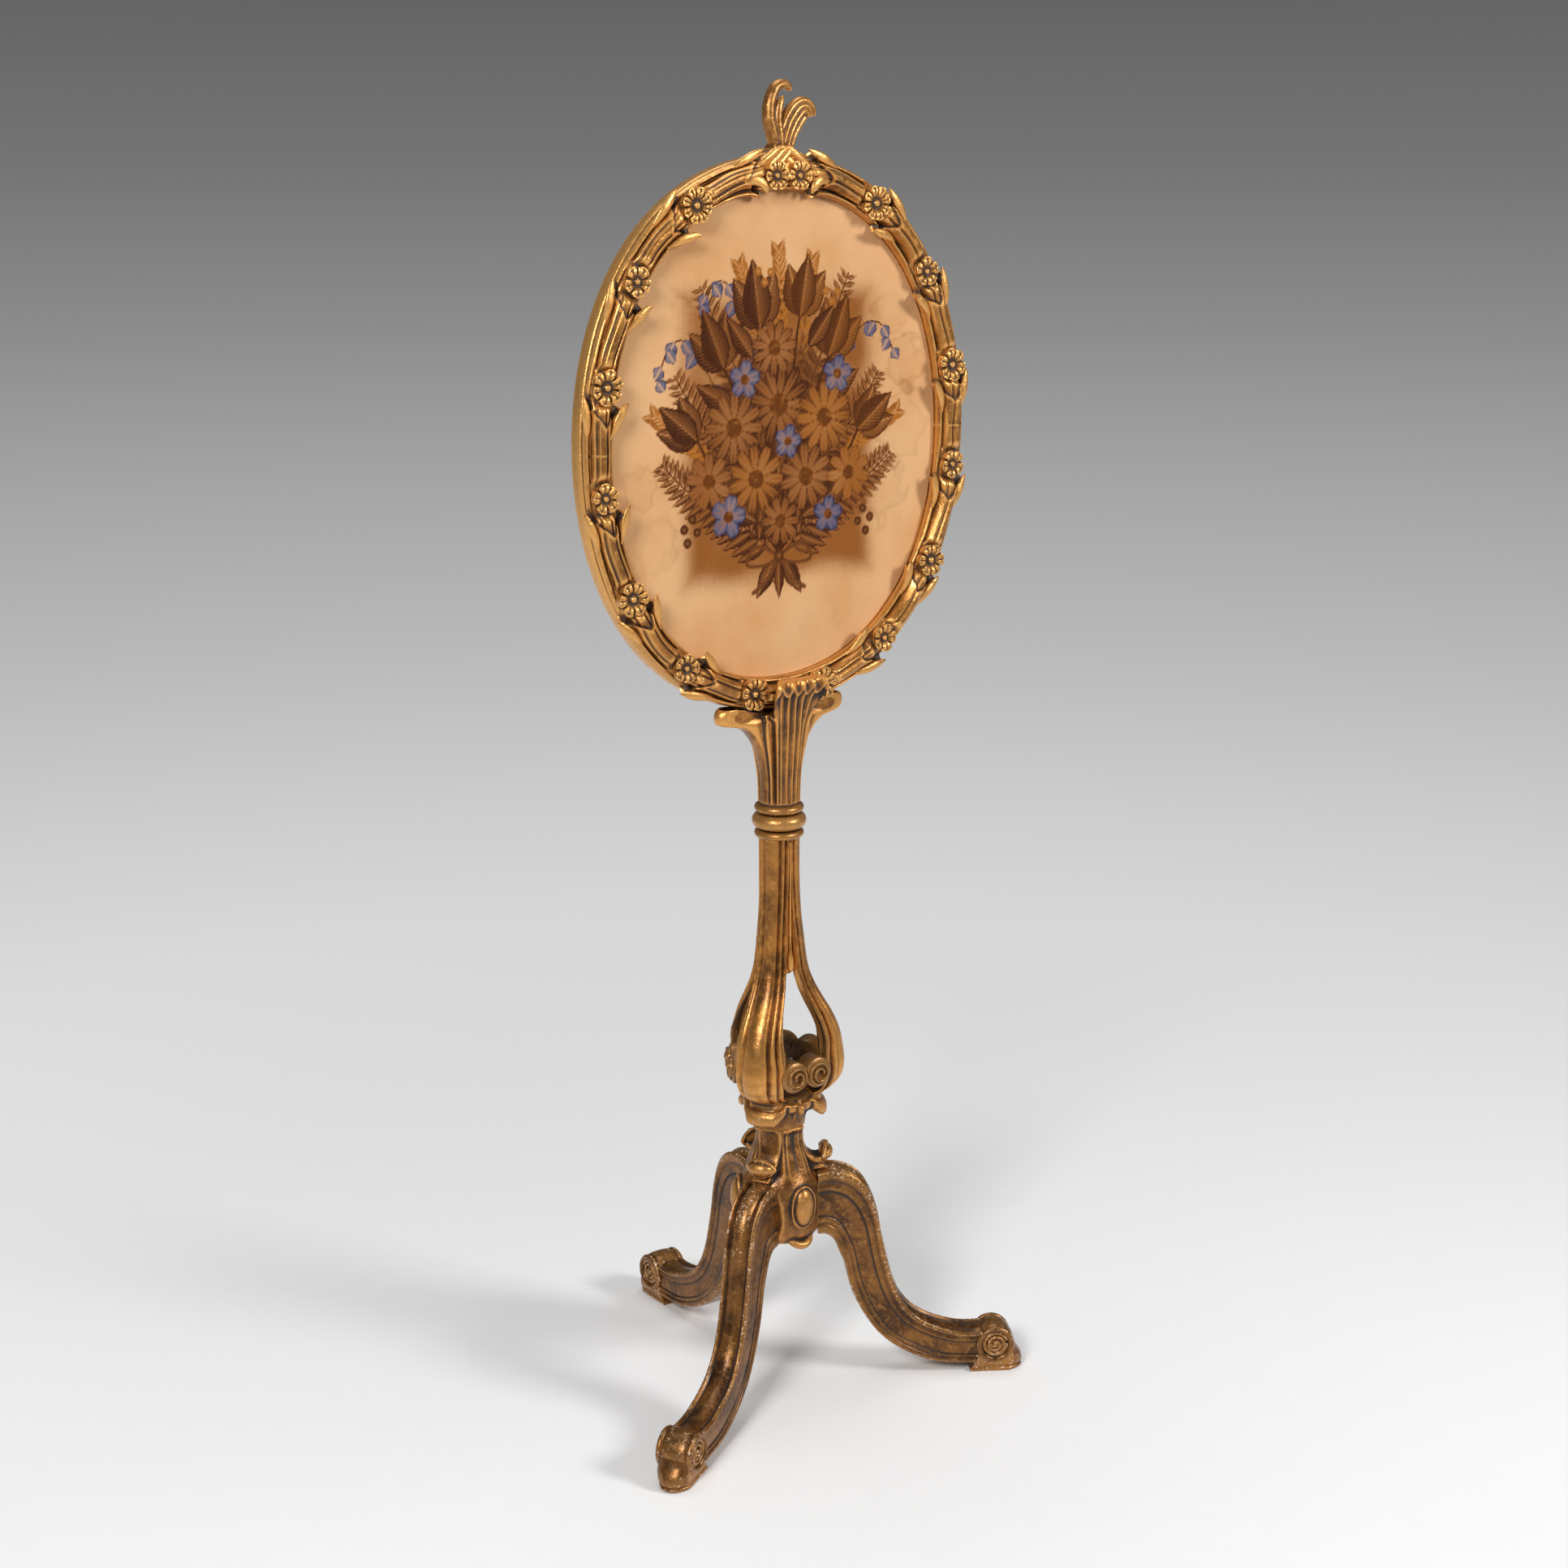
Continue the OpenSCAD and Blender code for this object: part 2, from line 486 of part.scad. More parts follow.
// Gable of stems that carries the finial
module crest() {
  z0 = crest_z - 6 - moulding_w / 2;
  half = [[0, 4], [30, 2], [50, moulding_w / 2 - 14], [46, moulding_w / 2 - 6], [30, moulding_w / 2 + 1],
    [20, moulding_w / 2 + 3], [15, moulding_w / 2 + 6]];
  translate([0, 11, z0]) rotate([90, 0, 0]) linear_extrude(11 + land_rise - 2)
    polygon(concat(half, [for (k = [len(half) - 1:-1:1]) [-half[k][0], half[k][1]]]));
}

module frame_lower_half() color(gilt) difference() {
  s = side_rings(90, 180);
  n = len(s);
  union() {
    loft([for (x = concat(s, [for (k = [n - 2:-1:0]) 360 - s[k]])) frame_ring(x)]);
    translate([-16, -9, frame_seat]) cube([32, 18, 12]);
  }
  frame_dowel_bores();
  translate([0, 0, frame_seat - 1])
    cylinder(d = capital_dowel_d + 2 * glue, h = capital_dowel_l / 2 + end_gap + 1);
}

module frame_dowel_bores() for (s = [-1, 1])
  translate([s * (oval_a + 4), 3, oval_z - frame_dowel_l / 2 - end_gap])
    cylinder(d = frame_dowel_d + 2 * glue, h = frame_dowel_l + 2 * end_gap);
module frame_dowels() color(bare_wood) for (s = [-1, 1])
  translate([s * (oval_a + 4), 3, oval_z - frame_dowel_l / 2]) cylinder(d = frame_dowel_d, h = frame_dowel_l);

// Flower with a button centre, lying on its flat back with its face towards +Z
module flower(d, petals) {
  ring = [[0.97, 0], [1, 0.08], [0.76, 0.2], [0.36, 0.11], [0.22, 0.26]];
  n = petals * 3;
  loft([for (f = ring) [for (j = [0:n - 1]) let (a = 360 * j / n,
      lobe = 1 - 0.2 * clamp(f[0] - 0.3, 0, 0.7) / 0.7 * (0.5 + 0.5 * cos(petals * a)))
    [d / 2 * f[0] * lobe * cos(a), d / 2 * f[0] * lobe * sin(a), d * f[1]]]]);
}
module flower_at(t, d, petals) let (o = oval_point(t, 0)) translate([o[0], -land_rise, o[1]])
  rotate([90, t, 0]) flower(d, petals);

module frame_flowers() color(gilt) for (k = [0:6], s = [-1, 1])
  flower_at(s * flowers[k], k % 2 == 0 ? flower_d : flower_d * 0.86, k % 2 == 0 ? 6 : 5);
module crest_flowers() color(gilt) for (s = [-1, 1]) flower_at(s * crest_flower_t, flower_d * 0.82, 6);

// Finial of two curled stems: x, height share, half width across the front, half depth
finial_left = [[-2, 0.02, 8, 9], [-6, 0.2, 8, 9], [-10, 0.42, 7.5, 8.5], [-11, 0.64, 7, 8], [-5, 0.86, 7, 7],
  [5, 0.945, 5.5, 6], [13, 0.91, 4.5, 5], [16, 0.83, 3, 4]];
finial_right = [[4, 0.02, 9, 9], [8, 0.2, 10.5, 9], [14, 0.38, 11.5, 8.5], [22, 0.53, 11, 8],
  [31, 0.60, 8.5, 7.5], [38, 0.56, 6.5, 7], [42, 0.47, 4, 6]];
function sweep_ring(path, t) = let (
    c = curve(path, t), d = curve(path, min(t + 0.02, 1)) - curve(path, max(t - 0.02, 0)),
    v = [d[0], d[1] * finial_height], n = [v[1], -v[0]] / norm(v))
  [for (a = [0:30:330]) let (x = c[2] * cos(a), y = c[3] * sin(a))
    [c[0] + n[0] * x, y, crest_z + c[1] * finial_height + n[1] * x]];

module finial() color(gilt) difference() {
  union() {
    intersection() {
      union() {
        loft([for (i = [0:14]) sweep_ring(finial_left, i / 14)]);
        loft([for (i = [0:12]) sweep_ring(finial_right, i / 12)]);
      }
      translate([-60, -30, crest_z]) cube([120, 60, finial_height]);
    }
    translate([-14, -9.5, crest_z]) cube([28, 18.5, 14]);
  }
  translate([0, 0, crest_z - 1])
    cylinder(d = finial_dowel_d + 2 * glue, h = finial_dowel_l * 0.4 + end_gap + 1);
}

module finial_dowel() color(bare_wood) translate([0, 0, crest_z - finial_dowel_l * 0.6])
  cylinder(d = finial_dowel_d, h = finial_dowel_l);

// Panel

function oval_outline(p) = [for (t = [0:3.75:356.25]) let (o = oval_point(t, p)) o];
// Flat oval from depth y0 to y1 behind the face of the cloth
module oval_plate(p, y0, y1) translate([0, y1, 0]) rotate([90, 0, 0]) linear_extrude(y1 - y0)
  polygon(oval_outline(p));

module painted_cloth() color([0.86, 0.70, 0.48]) oval_plate(panel_p, 0, cloth_t);
module strainer() color(bare_wood) difference() {
  oval_plate(panel_p, cloth_t, cloth_t + strainer_t);
  oval_plate(panel_p - strainer_w, cloth_t - 1, cloth_t + strainer_t + 1);
}
module backboard() color([0.45, 0.33, 0.21])
  oval_plate(panel_p, cloth_t + strainer_t, cloth_t + strainer_t + board_t);
// Small brads driven into the rebate behind the backboard
module backboard_pins() color([0.3, 0.3, 0.32]) for (t = [22.5:45:337.5])
  let (o = oval_point(t, rebate_p - brad_l * 0.55), n = oval_normal(t))
  translate([o[0], cloth_t + strainer_t + board_t + brad_d / 2, o[1]]) rotate([0, atan2(n[0], n[1]), 0])
    cylinder(d = brad_d, h = brad_l);
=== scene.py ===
"""Looks of a giltwood pole screen: carved gilt pieces, a painted cloth and plain studio light."""

import math

import bmesh
import bpy
import numpy as np
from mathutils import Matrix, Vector


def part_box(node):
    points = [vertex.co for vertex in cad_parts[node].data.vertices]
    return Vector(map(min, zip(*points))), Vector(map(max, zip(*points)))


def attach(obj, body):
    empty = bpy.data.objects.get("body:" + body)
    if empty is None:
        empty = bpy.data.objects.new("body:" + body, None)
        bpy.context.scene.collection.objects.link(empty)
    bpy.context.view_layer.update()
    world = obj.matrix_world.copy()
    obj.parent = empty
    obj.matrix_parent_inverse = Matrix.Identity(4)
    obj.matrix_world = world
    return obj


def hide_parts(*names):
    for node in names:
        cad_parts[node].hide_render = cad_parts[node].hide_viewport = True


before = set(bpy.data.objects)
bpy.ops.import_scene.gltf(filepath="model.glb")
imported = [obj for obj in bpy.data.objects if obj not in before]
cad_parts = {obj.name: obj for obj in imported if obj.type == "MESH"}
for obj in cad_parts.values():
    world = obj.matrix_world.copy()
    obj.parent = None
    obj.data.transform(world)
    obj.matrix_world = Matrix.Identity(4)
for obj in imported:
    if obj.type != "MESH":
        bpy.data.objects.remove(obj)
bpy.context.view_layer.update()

# Lengths are in millimetres and become metres when a mesh is made
MM = 0.001
FULL_TURN = 2 * math.pi
SIXTH_TURN = math.pi / 3
# Radius at which a turned profile closes
AXIS = 0.1


def foot(node):
    """Height of the lowest point of a CAD node."""
    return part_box(node)[0].z / MM


def head(node):
    """Height of the highest point of a CAD node."""
    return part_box(node)[1].z / MM


# Heights and directions taken from the frame
SPIGOT_L = 14
knee_z = head("leg_left")
hub_z = head("hub_pendant") - SPIGOT_L
hub_h = knee_z - hub_z
neck_z = foot("shell_collar")
stem_z = foot("stem_left")
stem_top = head("stem_left")
stem_h = stem_top - stem_z
capital_z = foot("leaf_capital")
seat_z = foot("frame_lower_half")
crest_z = foot("finial")
finial_top = head("finial")
BASE_TURN = -3.0
LEGS = [math.radians(90 + BASE_TURN + 120 * k) for k in range(3)]

# Sizes of the stand
FOOT_RADIUS = 246.0
SCROLL_D = 45.0
SOLE_T = 11.0
LEG_WIDTH = 38.0
HUB_FLAT = 42.0
HUB_R = HUB_FLAT + 5.5
NECK_R = 26.5
SHAFT_R = 21.5
BULB_R = 71.0
CORE_R = 15.0
VOLUTE_R = 15.0
VOLUTE_LIFT = 15.5
LEAF_REACH = 84.0

# Sizes of the oval
cloth_low, cloth_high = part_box("painted_cloth")
EDGE_COVER = 9.5
OVAL_A = (cloth_high.x - cloth_low.x) / 2 / MM + EDGE_COVER
OVAL_B = (cloth_high.z - cloth_low.z) / 2 / MM + EDGE_COVER
OVAL_Z = (cloth_high.z + cloth_low.z) / 2 / MM
FULLNESS = 0.02
HALF_W = 17.0
REBATE_P = -9.0
BACK = 13.0
LAND = 12.0
FLOWER_FIRST = 29.5
FLOWER_STEP = 23.2
FLOWER_D = 36.0
FLOWERS = [FLOWER_FIRST + FLOWER_STEP * k for k in range(7)]
CREST_FLOWER = 3.7


# Shape helpers


def curve(points, t):
    """Points at t in 0..1 on a smooth curve through all the given points."""
    pts = np.asarray(points, float)
    n = len(pts) - 1
    x = np.clip(np.asarray(t, float), 0, 1) * n
    i = np.minimum(x.astype(int), n - 1)
    u = (x - i)[..., None]
    p0, p1 = pts[np.maximum(i - 1, 0)], pts[i]
    p2, p3 = pts[i + 1], pts[np.minimum(i + 2, n)]
    cubic = 3 * p1 - p0 - 3 * p2 + p3
    square = 2 * p0 - 5 * p1 + 4 * p2 - p3
    return 0.5 * (2 * p1 + (p2 - p0) * u + square * u**2 + cubic * u**3)


def smooth(points, count):
    """The given number of points along a smooth curve."""
    return curve(points, np.linspace(0, 1, count))


def along(table, x):
    """Smooth value at x from rows of (x, value)."""
    tx, ty = np.asarray(table, float).T
    slope = np.gradient(ty, tx)
    x = np.asarray(x, float)
    i = np.clip(np.searchsorted(tx, x) - 1, 0, len(tx) - 2)
    h = tx[i + 1] - tx[i]
    u = np.clip((x - tx[i]) / h, 0, 1)
    rise = (1 + 2 * u) * (1 - u) ** 2 * ty[i] + u * u * (3 - 2 * u) * ty[i + 1]
    return rise + h * u * (1 - u) * ((1 - u) * slope[i] - u * slope[i + 1])


def step(x, lo, hi):
    """Smooth step from 0 at lo to 1 at hi."""
    u = np.clip((np.asarray(x, float) - lo) / (hi - lo), 0, 1)
    return u * u * (3 - 2 * u)


def bump(x, centre, half):
    """Smooth hump of height 1 at centre that ends at half its width."""
    return 1 - step(np.abs(np.asarray(x, float) - centre), 0, half)


def circle(count):
    """Evenly spaced angles of a full turn."""
    return np.linspace(0, FULL_TURN, count, endpoint=False)


def xyz(x, y, z):
    """Points from arrays or single values of their coordinates."""
    return np.stack(np.broadcast_arrays(x, y, z), -1)


def polar(r, a, z):
    """Points at radius r and angle a about the pole axis, at height z."""
    return xyz(r * np.cos(a), r * np.sin(a), z)


def off_leg(a):
    """Angle in degrees between a direction and the nearest leg."""
    return np.degrees(np.arccos(np.clip(np.cos(3 * (a - LEGS[0])), -1, 1))) / 3


def skin(rings):
    """Vertices and faces of a tube over rings of points, closed by a fan at each end."""
    rings = np.asarray(rings, float)
    m, n = rings.shape[:2]
    i, j = np.meshgrid(np.arange(m - 1), np.arange(n), indexing="ij")
    a = i * n + j
    b = i * n + (j + 1) % n
    faces = np.stack([a, b, b + n, a + n], -1).reshape(-1, 4).tolist()
    verts = np.vstack([rings.reshape(-1, 3), rings[0].mean(0), rings[-1].mean(0)])
    last = (m - 1) * n
    faces += [[m * n, (k + 1) % n, k] for k in range(n)]
    faces += [[m * n + 1, last + k, last + (k + 1) % n] for k in range(n)]
    return verts, faces


def turned(profile, count=160):
    """Solid of revolution about the pole axis from (radius, height) rows."""
    p = np.asarray(profile, float)
    return skin(polar(p[:, :1], circle(count), p[:, 1:]))


def spun(part, angle):
    """Vertices and faces turned about the pole axis."""
    c, s = math.cos(angle), math.sin(angle)
    verts = part[0] @ np.array([[c, s, 0], [-s, c, 0], [0, 0, 1]])
    return verts, part[1]


def sweep(path, widths, depths, side, count=28, rows=60, power=1.0):
    """Tube along a smooth path, with widths across it and depths along the side vector."""
    t = np.linspace(0, 1, rows)
    c = curve(path, t)
    d = np.gradient(c, axis=0)
    d /= np.linalg.norm(d, axis=1)[:, None]
    w = np.cross(d, np.asarray(side, float))
    w /= np.linalg.norm(w, axis=1)[:, None]
    s = np.cross(w, d)
    half = curve(np.asarray(widths, float)[:, None], t)
    deep = curve(np.asarray(depths, float)[:, None], t)
    a = circle(count)
    ca, sa = np.cos(a), np.sin(a)
    ca = np.sign(ca) * np.abs(ca) ** power
    sa = np.sign(sa) * np.abs(sa) ** power
    return skin(c[:, None] + (half * ca)[..., None] * w[:, None] + (deep * sa)[..., None] * s[:, None])


def ellipsoid(centre, half, rows=24, count=40):
    """Ellipsoid with its centre and its half sizes along x, y and z."""
    u = np.linspace(0.02, math.pi - 0.02, rows)[:, None]
    unit = polar(np.sin(u), circle(count), np.cos(u))
    return skin(np.asarray(centre, float) + unit * np.asarray(half, float))


def blade(path, widths, thick, rim, rows=90, count=49):
    """Leaf with a raised rim that runs out along +X, its outer face on the right of its path.

    Path rows are (reach, height), and widths are half widths across.
    """
    t = np.linspace(0, 1, rows)
    c = curve(path, t)
    d = np.gradient(c, axis=0)
    d /= np.linalg.norm(d, axis=1)[:, None]
    out = np.stack([d[:, 1], -d[:, 0]], -1)
    half = curve(np.asarray(widths, float)[:, None], t)
    body = curve(np.asarray(thick, float)[:, None], t)
    v = np.linspace(-1, 1, count)
    edge = np.sqrt(np.clip(1 - np.abs(v) ** 3, 0, 1))
    grow = step(t, 0.04, 0.3)[:, None]
    face = body * edge + rim * bump(np.abs(v), 0.84, 0.2) * grow
    back = -0.35 * body * edge
    layers = []
    for lift, order in ((face, 1), (back, -1)):
        reach = c[:, :1] + out[:, :1] * lift
        height = c[:, 1:] + out[:, 1:] * lift
        layers.append(xyz(reach, half * v, height)[:, ::order])
    return skin(np.concatenate([layers[0], layers[1][:, 1:-1]], 1))


# Mesh helpers


def shown(name, data):
    """New object with this data in the scene."""
    obj = bpy.data.objects.new(name, data)
    bpy.context.scene.collection.objects.link(obj)
    return obj


def piece(name, parts):
    """Blender object from one or more parts of vertices and faces."""
    verts, faces, offset = [], [], 0
    for v, f in parts:
        verts.append(v)
        faces += [[k + offset for k in face] for face in f]
        offset += len(v)
    mesh = bpy.data.meshes.new(name)
    mesh.from_pydata((np.vstack(verts) * MM).tolist(), [], faces)
    tidy = bmesh.new()
    tidy.from_mesh(mesh)
    bmesh.ops.recalc_face_normals(tidy, faces=tidy.faces)
    tidy.to_mesh(mesh)
    tidy.free()
    return shown(name, mesh)


def fused(obj, voxel, rounds):
    """Merges the overlapping shells of a piece into one carved skin and softens it."""
    merge = obj.modifiers.new("merge", "REMESH")
    merge.mode = "VOXEL"
    merge.voxel_size = voxel * MM
    soften = obj.modifiers.new("soften", "SMOOTH")
    soften.factor = 0.5
    soften.iterations = rounds
    ready = obj.evaluated_get(bpy.context.evaluated_depsgraph_get())
    mesh = bpy.data.meshes.new_from_object(ready)
    obj.modifiers.clear()
    obj.data = mesh
    return obj


def values(items, name, width, kind):
    """A property of all items of a mesh, with one row for each item."""
    rows = np.empty(len(items) * width, kind)
    items.foreach_get(name, rows)
    return rows.reshape(-1, width)


# Edges longer than this many middle ones belong to a flat end
CAP_EDGE = 6
# Share of the way to its neighbours that a point moves in one round of smoothing
EVEN_OUT = 0.65


def relief(obj, rounds=14, broad=70):
    """Stores how deep each point lies in a hollow, in millimetres; below 0 it stands proud.

    The attribute "hollow" holds the fine carving and "valley" the broader forms.
    """
    mesh = obj.data
    count = len(mesh.vertices)
    co = values(mesh.vertices, "co", 3, float)
    normal = values(mesh.vertices, "normal", 3, np.float32)
    edges = values(mesh.edges, "vertices", 2, np.int32)
    span = np.linalg.norm(co[edges[:, 0]] - co[edges[:, 1]], axis=1)
    a, b = edges[span < CAP_EDGE * np.median(span)].T
    ends, others = np.concatenate([a, b]), np.concatenate([b, a])
    links = np.bincount(ends, minlength=count)[:, None]
    even = co.copy()
    for turn in range(1, broad + 1):
        near = np.stack([np.bincount(ends, even[others, k], count) for k in range(3)], -1)
        moved = (1 - EVEN_OUT) * even + EVEN_OUT * near / np.maximum(links, 1)
        even = np.where(links > 0, moved, even)
        if turn in (rounds, broad):
            depth = np.einsum("ij,ij->i", even - co, normal) / MM
            store = mesh.attributes.new("hollow" if turn == rounds else "valley", "FLOAT", "POINT")
            store.data.foreach_set("value", depth.astype(np.float32))
    return obj


def darken_valleys(obj, least, first=0, inward=0.0):
    """Raises the valley depth of the points from first on to at least this many millimetres, which darkens
    them.

    The faces that look towards the pole axis, where the bulb shades them, get the depth inward on top as
    painted shade, with some dirt.
    """
    mesh = obj.data
    out = values(mesh.vertices, "co", 3, float)[:, :2]
    out = out / np.linalg.norm(out, axis=1)[:, None]
    normal = values(mesh.vertices, "normal", 3, np.float32)[:, :2]
    facing = np.clip(-np.einsum("ij,ij->i", normal, out), 0, 1)
    store = mesh.attributes["valley"].data
    valley = values(store, "value", 1, np.float32).ravel()
    valley[first:] = np.maximum(valley[first:], least)
    # Painted shade, with some dirt, on the faces that look towards the pole axis
    store.foreach_set("value", valley + (inward * facing).astype(np.float32))
    return obj


def finish_piece(obj, body, material, node, sharp=50):
    """Shades a piece, gives it its finish and lets it ride on its body in place of its CAD node."""
    mesh = obj.data
    mesh.polygons.foreach_set("use_smooth", [True] * len(mesh.polygons))
    mesh.set_sharp_from_angle(angle=math.radians(sharp))
    mesh.materials.clear()
    mesh.materials.append(material)
    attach(obj, body)
    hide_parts(node)


# Material helpers


class Nodes:
    """Short hand for building the node tree of a material or world around its shader."""

    def __init__(self, owner, shader="Principled BSDF"):
        owner.use_nodes = True
        self.owner = owner
        self.tree = owner.node_tree
        self.shader = self.tree.nodes[shader]
        self.place = self.new("TexCoord").outputs

    def put(self, value, socket):
        """Sets a socket to a value or links it to an output."""
        if isinstance(value, bpy.types.NodeSocket):
            self.tree.links.new(value, socket)
        else:
            socket.default_value = value

    def fill(self, node, inputs):
        """Sets or links the named inputs of a node; the names have _ for a space."""
        for name, value in inputs.items():
            self.put(value, node.inputs[name.replace("_", " ")])

    def new(self, kind, **inputs):
        """New node with these inputs."""
        node = self.tree.nodes.new("ShaderNode" + kind)
        self.fill(node, inputs)
        return node

    def set(self, **inputs):
        """Sets or links inputs of the shader."""
        self.fill(self.shader, inputs)

    def noise(self, scale, detail=3.0, rough=0.55, stretch=None, distortion=0.0):
        """Noise over the place on the object, which can be stretched."""
        place = self.place["Object"]
        if stretch:
            place = self.new("Mapping", Vector=place, Scale=stretch).outputs["Vector"]
        node = self.new("TexNoise", Vector=place, Scale=scale, Detail=detail, Roughness=rough)
        node.inputs["Distortion"].default_value = distortion
        return node.outputs["Fac"]

    def attribute(self, name):
        """Outputs of an attribute stored on the mesh."""
        node = self.new("Attribute")
        node.attribute_name = name
        return node.outputs

    def math(self, kind, a, b):
        """Result of a sum on two values or outputs."""
        node = self.new("Math")
        node.operation = kind
        self.put(a, node.inputs[0])
        self.put(b, node.inputs[1])
        return node.outputs[0]

    def ramp(self, value, lo, hi, out_lo=0.0, out_hi=1.0):
        """Smooth step from out_lo at lo to out_hi at hi."""
        node = self.new("MapRange", Value=value, From_Min=lo, From_Max=hi, To_Min=out_lo, To_Max=out_hi)
        node.interpolation_type = "SMOOTHSTEP"
        return node.outputs["Result"]

    def mix(self, share, a, b):
        """Colour a with a share of colour b."""
        node = self.new("Mix")
        node.data_type = "RGBA"
        self.put(share, node.inputs["Factor"])
        for value, socket in ((a, node.inputs[6]), (b, node.inputs[7])):
            self.put(value if isinstance(value, bpy.types.NodeSocket) else (*value, 1.0), socket)
        return node.outputs[2]

    def bump(self, height, strength, distance):
        """Gives the shader a fine relief, in millimetres."""
        node = self.new("Bump", Height=height, Strength=strength, Distance=distance * MM)
        self.set(Normal=node.outputs["Normal"])


def material_nodes(name):
    """Node tree of a new material."""
    return Nodes(bpy.data.materials.new(name))


GESSO = (0.64, 0.45, 0.31)


def gilding(name, bright, mid, brown, glaze_and_shade, chips, groove_dirt_and_shade, ridge_rub_and_highlight=0.85):
    """Aged gilding on carved wood.

    Its ridges are rubbed bright and carry a painted highlight, brown patches show between them, dark glazing
    with painted shade lies in the hollows and the broad valleys, and the gesso is chipped along the edges.
    """
    n = material_nodes(name)
    hollow, valley = n.attribute("hollow")["Fac"], n.attribute("valley")["Fac"]
    cloud = n.noise(32, 4, 0.62)
    mottle = n.noise(130, 4, 0.65)
    grain = n.noise(520, 3, 0.6)
    tone = n.mix(n.ramp(cloud, 0.38, 0.64), mid, brown)
    tone = n.mix(n.ramp(mottle, 0.46, 0.74, 0.0, 0.55), tone, bright)
    ragged = n.math("MULTIPLY", n.math("SUBTRACT", mottle, 0.5), 0.5)
    # Painted highlight, partly rubbed gilding: points that stand proud turn towards the bright colour
    proud = n.ramp(n.math("ADD", hollow, ragged), -0.05, -0.42)
    tone = n.mix(n.math("MULTIPLY", proud, ridge_rub_and_highlight), tone, bright)
    # Painted shade: broad valleys turn towards the dark hollow colour
    soft = n.ramp(n.math("ADD", valley, n.math("MULTIPLY", ragged, 1.5)), -0.1, 1.5, 0.0, 0.82)
    tone = n.mix(soft, tone, glaze_and_shade)
    # Painted shade with glazing and dirt: fine grooves turn towards the dark hollow colour
    deep = n.math("ADD", hollow, n.math("MULTIPLY", n.math("SUBTRACT", grain, 0.5), 0.25))
    groove = n.ramp(deep, 0.03, 0.55 - 0.25 * groove_dirt_and_shade, 0.0, groove_dirt_and_shade)
    tone = n.mix(groove, tone, glaze_and_shade)
    speck = n.ramp(n.noise(240, 5, 0.7), 0.6, 0.72, 0.0, 0.6)
    tone = n.mix(speck, tone, brown)
    edge = n.ramp(hollow, -0.12, -0.42)
    fleck = n.ramp(n.noise(330, 3, 0.6), 0.65 - 0.03 * chips, 0.69 - 0.03 * chips)
    chip = n.math("MULTIPLY", fleck, n.math("MULTIPLY", edge, chips))
    dull = n.math("ADD", groove, n.math("ADD", chip, n.math("MULTIPLY", soft, 0.6)))
    rough = n.math("ADD", n.ramp(mottle, 0.3, 0.75, 0.24, 0.44), n.math("MULTIPLY", groove, 0.3))
    n.set(Base_Color=n.mix(chip, tone, GESSO), Metallic=n.ramp(dull, 0.0, 0.9, 0.66, 0.05),
          Roughness=rough, Coat_Weight=0.12, Coat_Roughness=0.2)
    n.bump(n.math("ADD", mottle, n.math("MULTIPLY", grain, 0.6)), 0.5, 0.7)
    return n.owner


def plain_wood(name, light, dark):
    """Unfinished wood with its grain along the height."""
    n = material_nodes(name)
    grain = n.noise(60, 5, 0.6, stretch=(1.0, 1.0, 0.06), distortion=0.6)
    pores = n.noise(600, 2, 0.5, stretch=(1.0, 1.0, 0.05))
    tone = n.mix(n.ramp(grain, 0.35, 0.68), light, dark)
    tone = n.mix(n.ramp(pores, 0.6, 0.75, 0.0, 0.5), tone, tuple(c * 0.5 for c in dark))
    n.set(Base_Color=tone, Roughness=0.72)
    n.bump(n.math("ADD", grain, pores), 0.3, 0.4)
    return n.owner


def leather_finish():
    """Dark worn leather."""
    n = material_nodes("leather")
    cells = n.noise(900, 3, 0.6)
    tone = n.mix(n.ramp(n.noise(80), 0.35, 0.7), (0.085, 0.045, 0.024), (0.16, 0.09, 0.05))
    n.set(Base_Color=tone, Roughness=0.6)
    n.bump(cells, 0.4, 0.3)
    return n.owner


def iron_finish():
    """Dull iron with a little rust."""
    n = material_nodes("iron")
    rust = n.ramp(n.noise(300, 4), 0.5, 0.7)
    tone = n.mix(rust, (0.12, 0.12, 0.125), (0.16, 0.075, 0.035))
    n.set(Base_Color=tone, Metallic=n.ramp(rust, 0, 1, 0.9, 0.2), Roughness=0.5)
    return n.owner


# The darkest colour of each gilding below also paints the shade in its hollows and valleys
gilt_bright = gilding("bright_gilt", (0.80, 0.41, 0.115), (0.44, 0.183, 0.034), (0.215, 0.08, 0.016),
                      (0.03, 0.0115, 0.004), chips=0.35, groove_dirt_and_shade=0.84)
gilt_mid = gilding("gilt", (0.82, 0.395, 0.10), (0.47, 0.19, 0.036), (0.195, 0.074, 0.016),
                   (0.022, 0.0088, 0.0032), chips=0.45, groove_dirt_and_shade=0.9)
gilt_old = gilding("old_gilt", (0.68, 0.32, 0.085), (0.30, 0.12, 0.024), (0.095, 0.035, 0.0095),
                   (0.012, 0.005, 0.0022), chips=0.8, groove_dirt_and_shade=0.95, ridge_rub_and_highlight=0.75)
gilt_worn = gilding("old_gilt_worn", (0.58, 0.275, 0.072), (0.235, 0.094, 0.019), (0.07, 0.026, 0.0075),
                    (0.010, 0.0042, 0.0019), chips=2.2, groove_dirt_and_shade=1.0, ridge_rub_and_highlight=0.42)
bare_wood = plain_wood("bare_wood", (0.52, 0.34, 0.17), (0.34, 0.2, 0.09))
board_wood = plain_wood("backboard", (0.30, 0.18, 0.09), (0.17, 0.095, 0.045))
leather = leather_finish()
iron = iron_finish()


# Legs with scroll feet

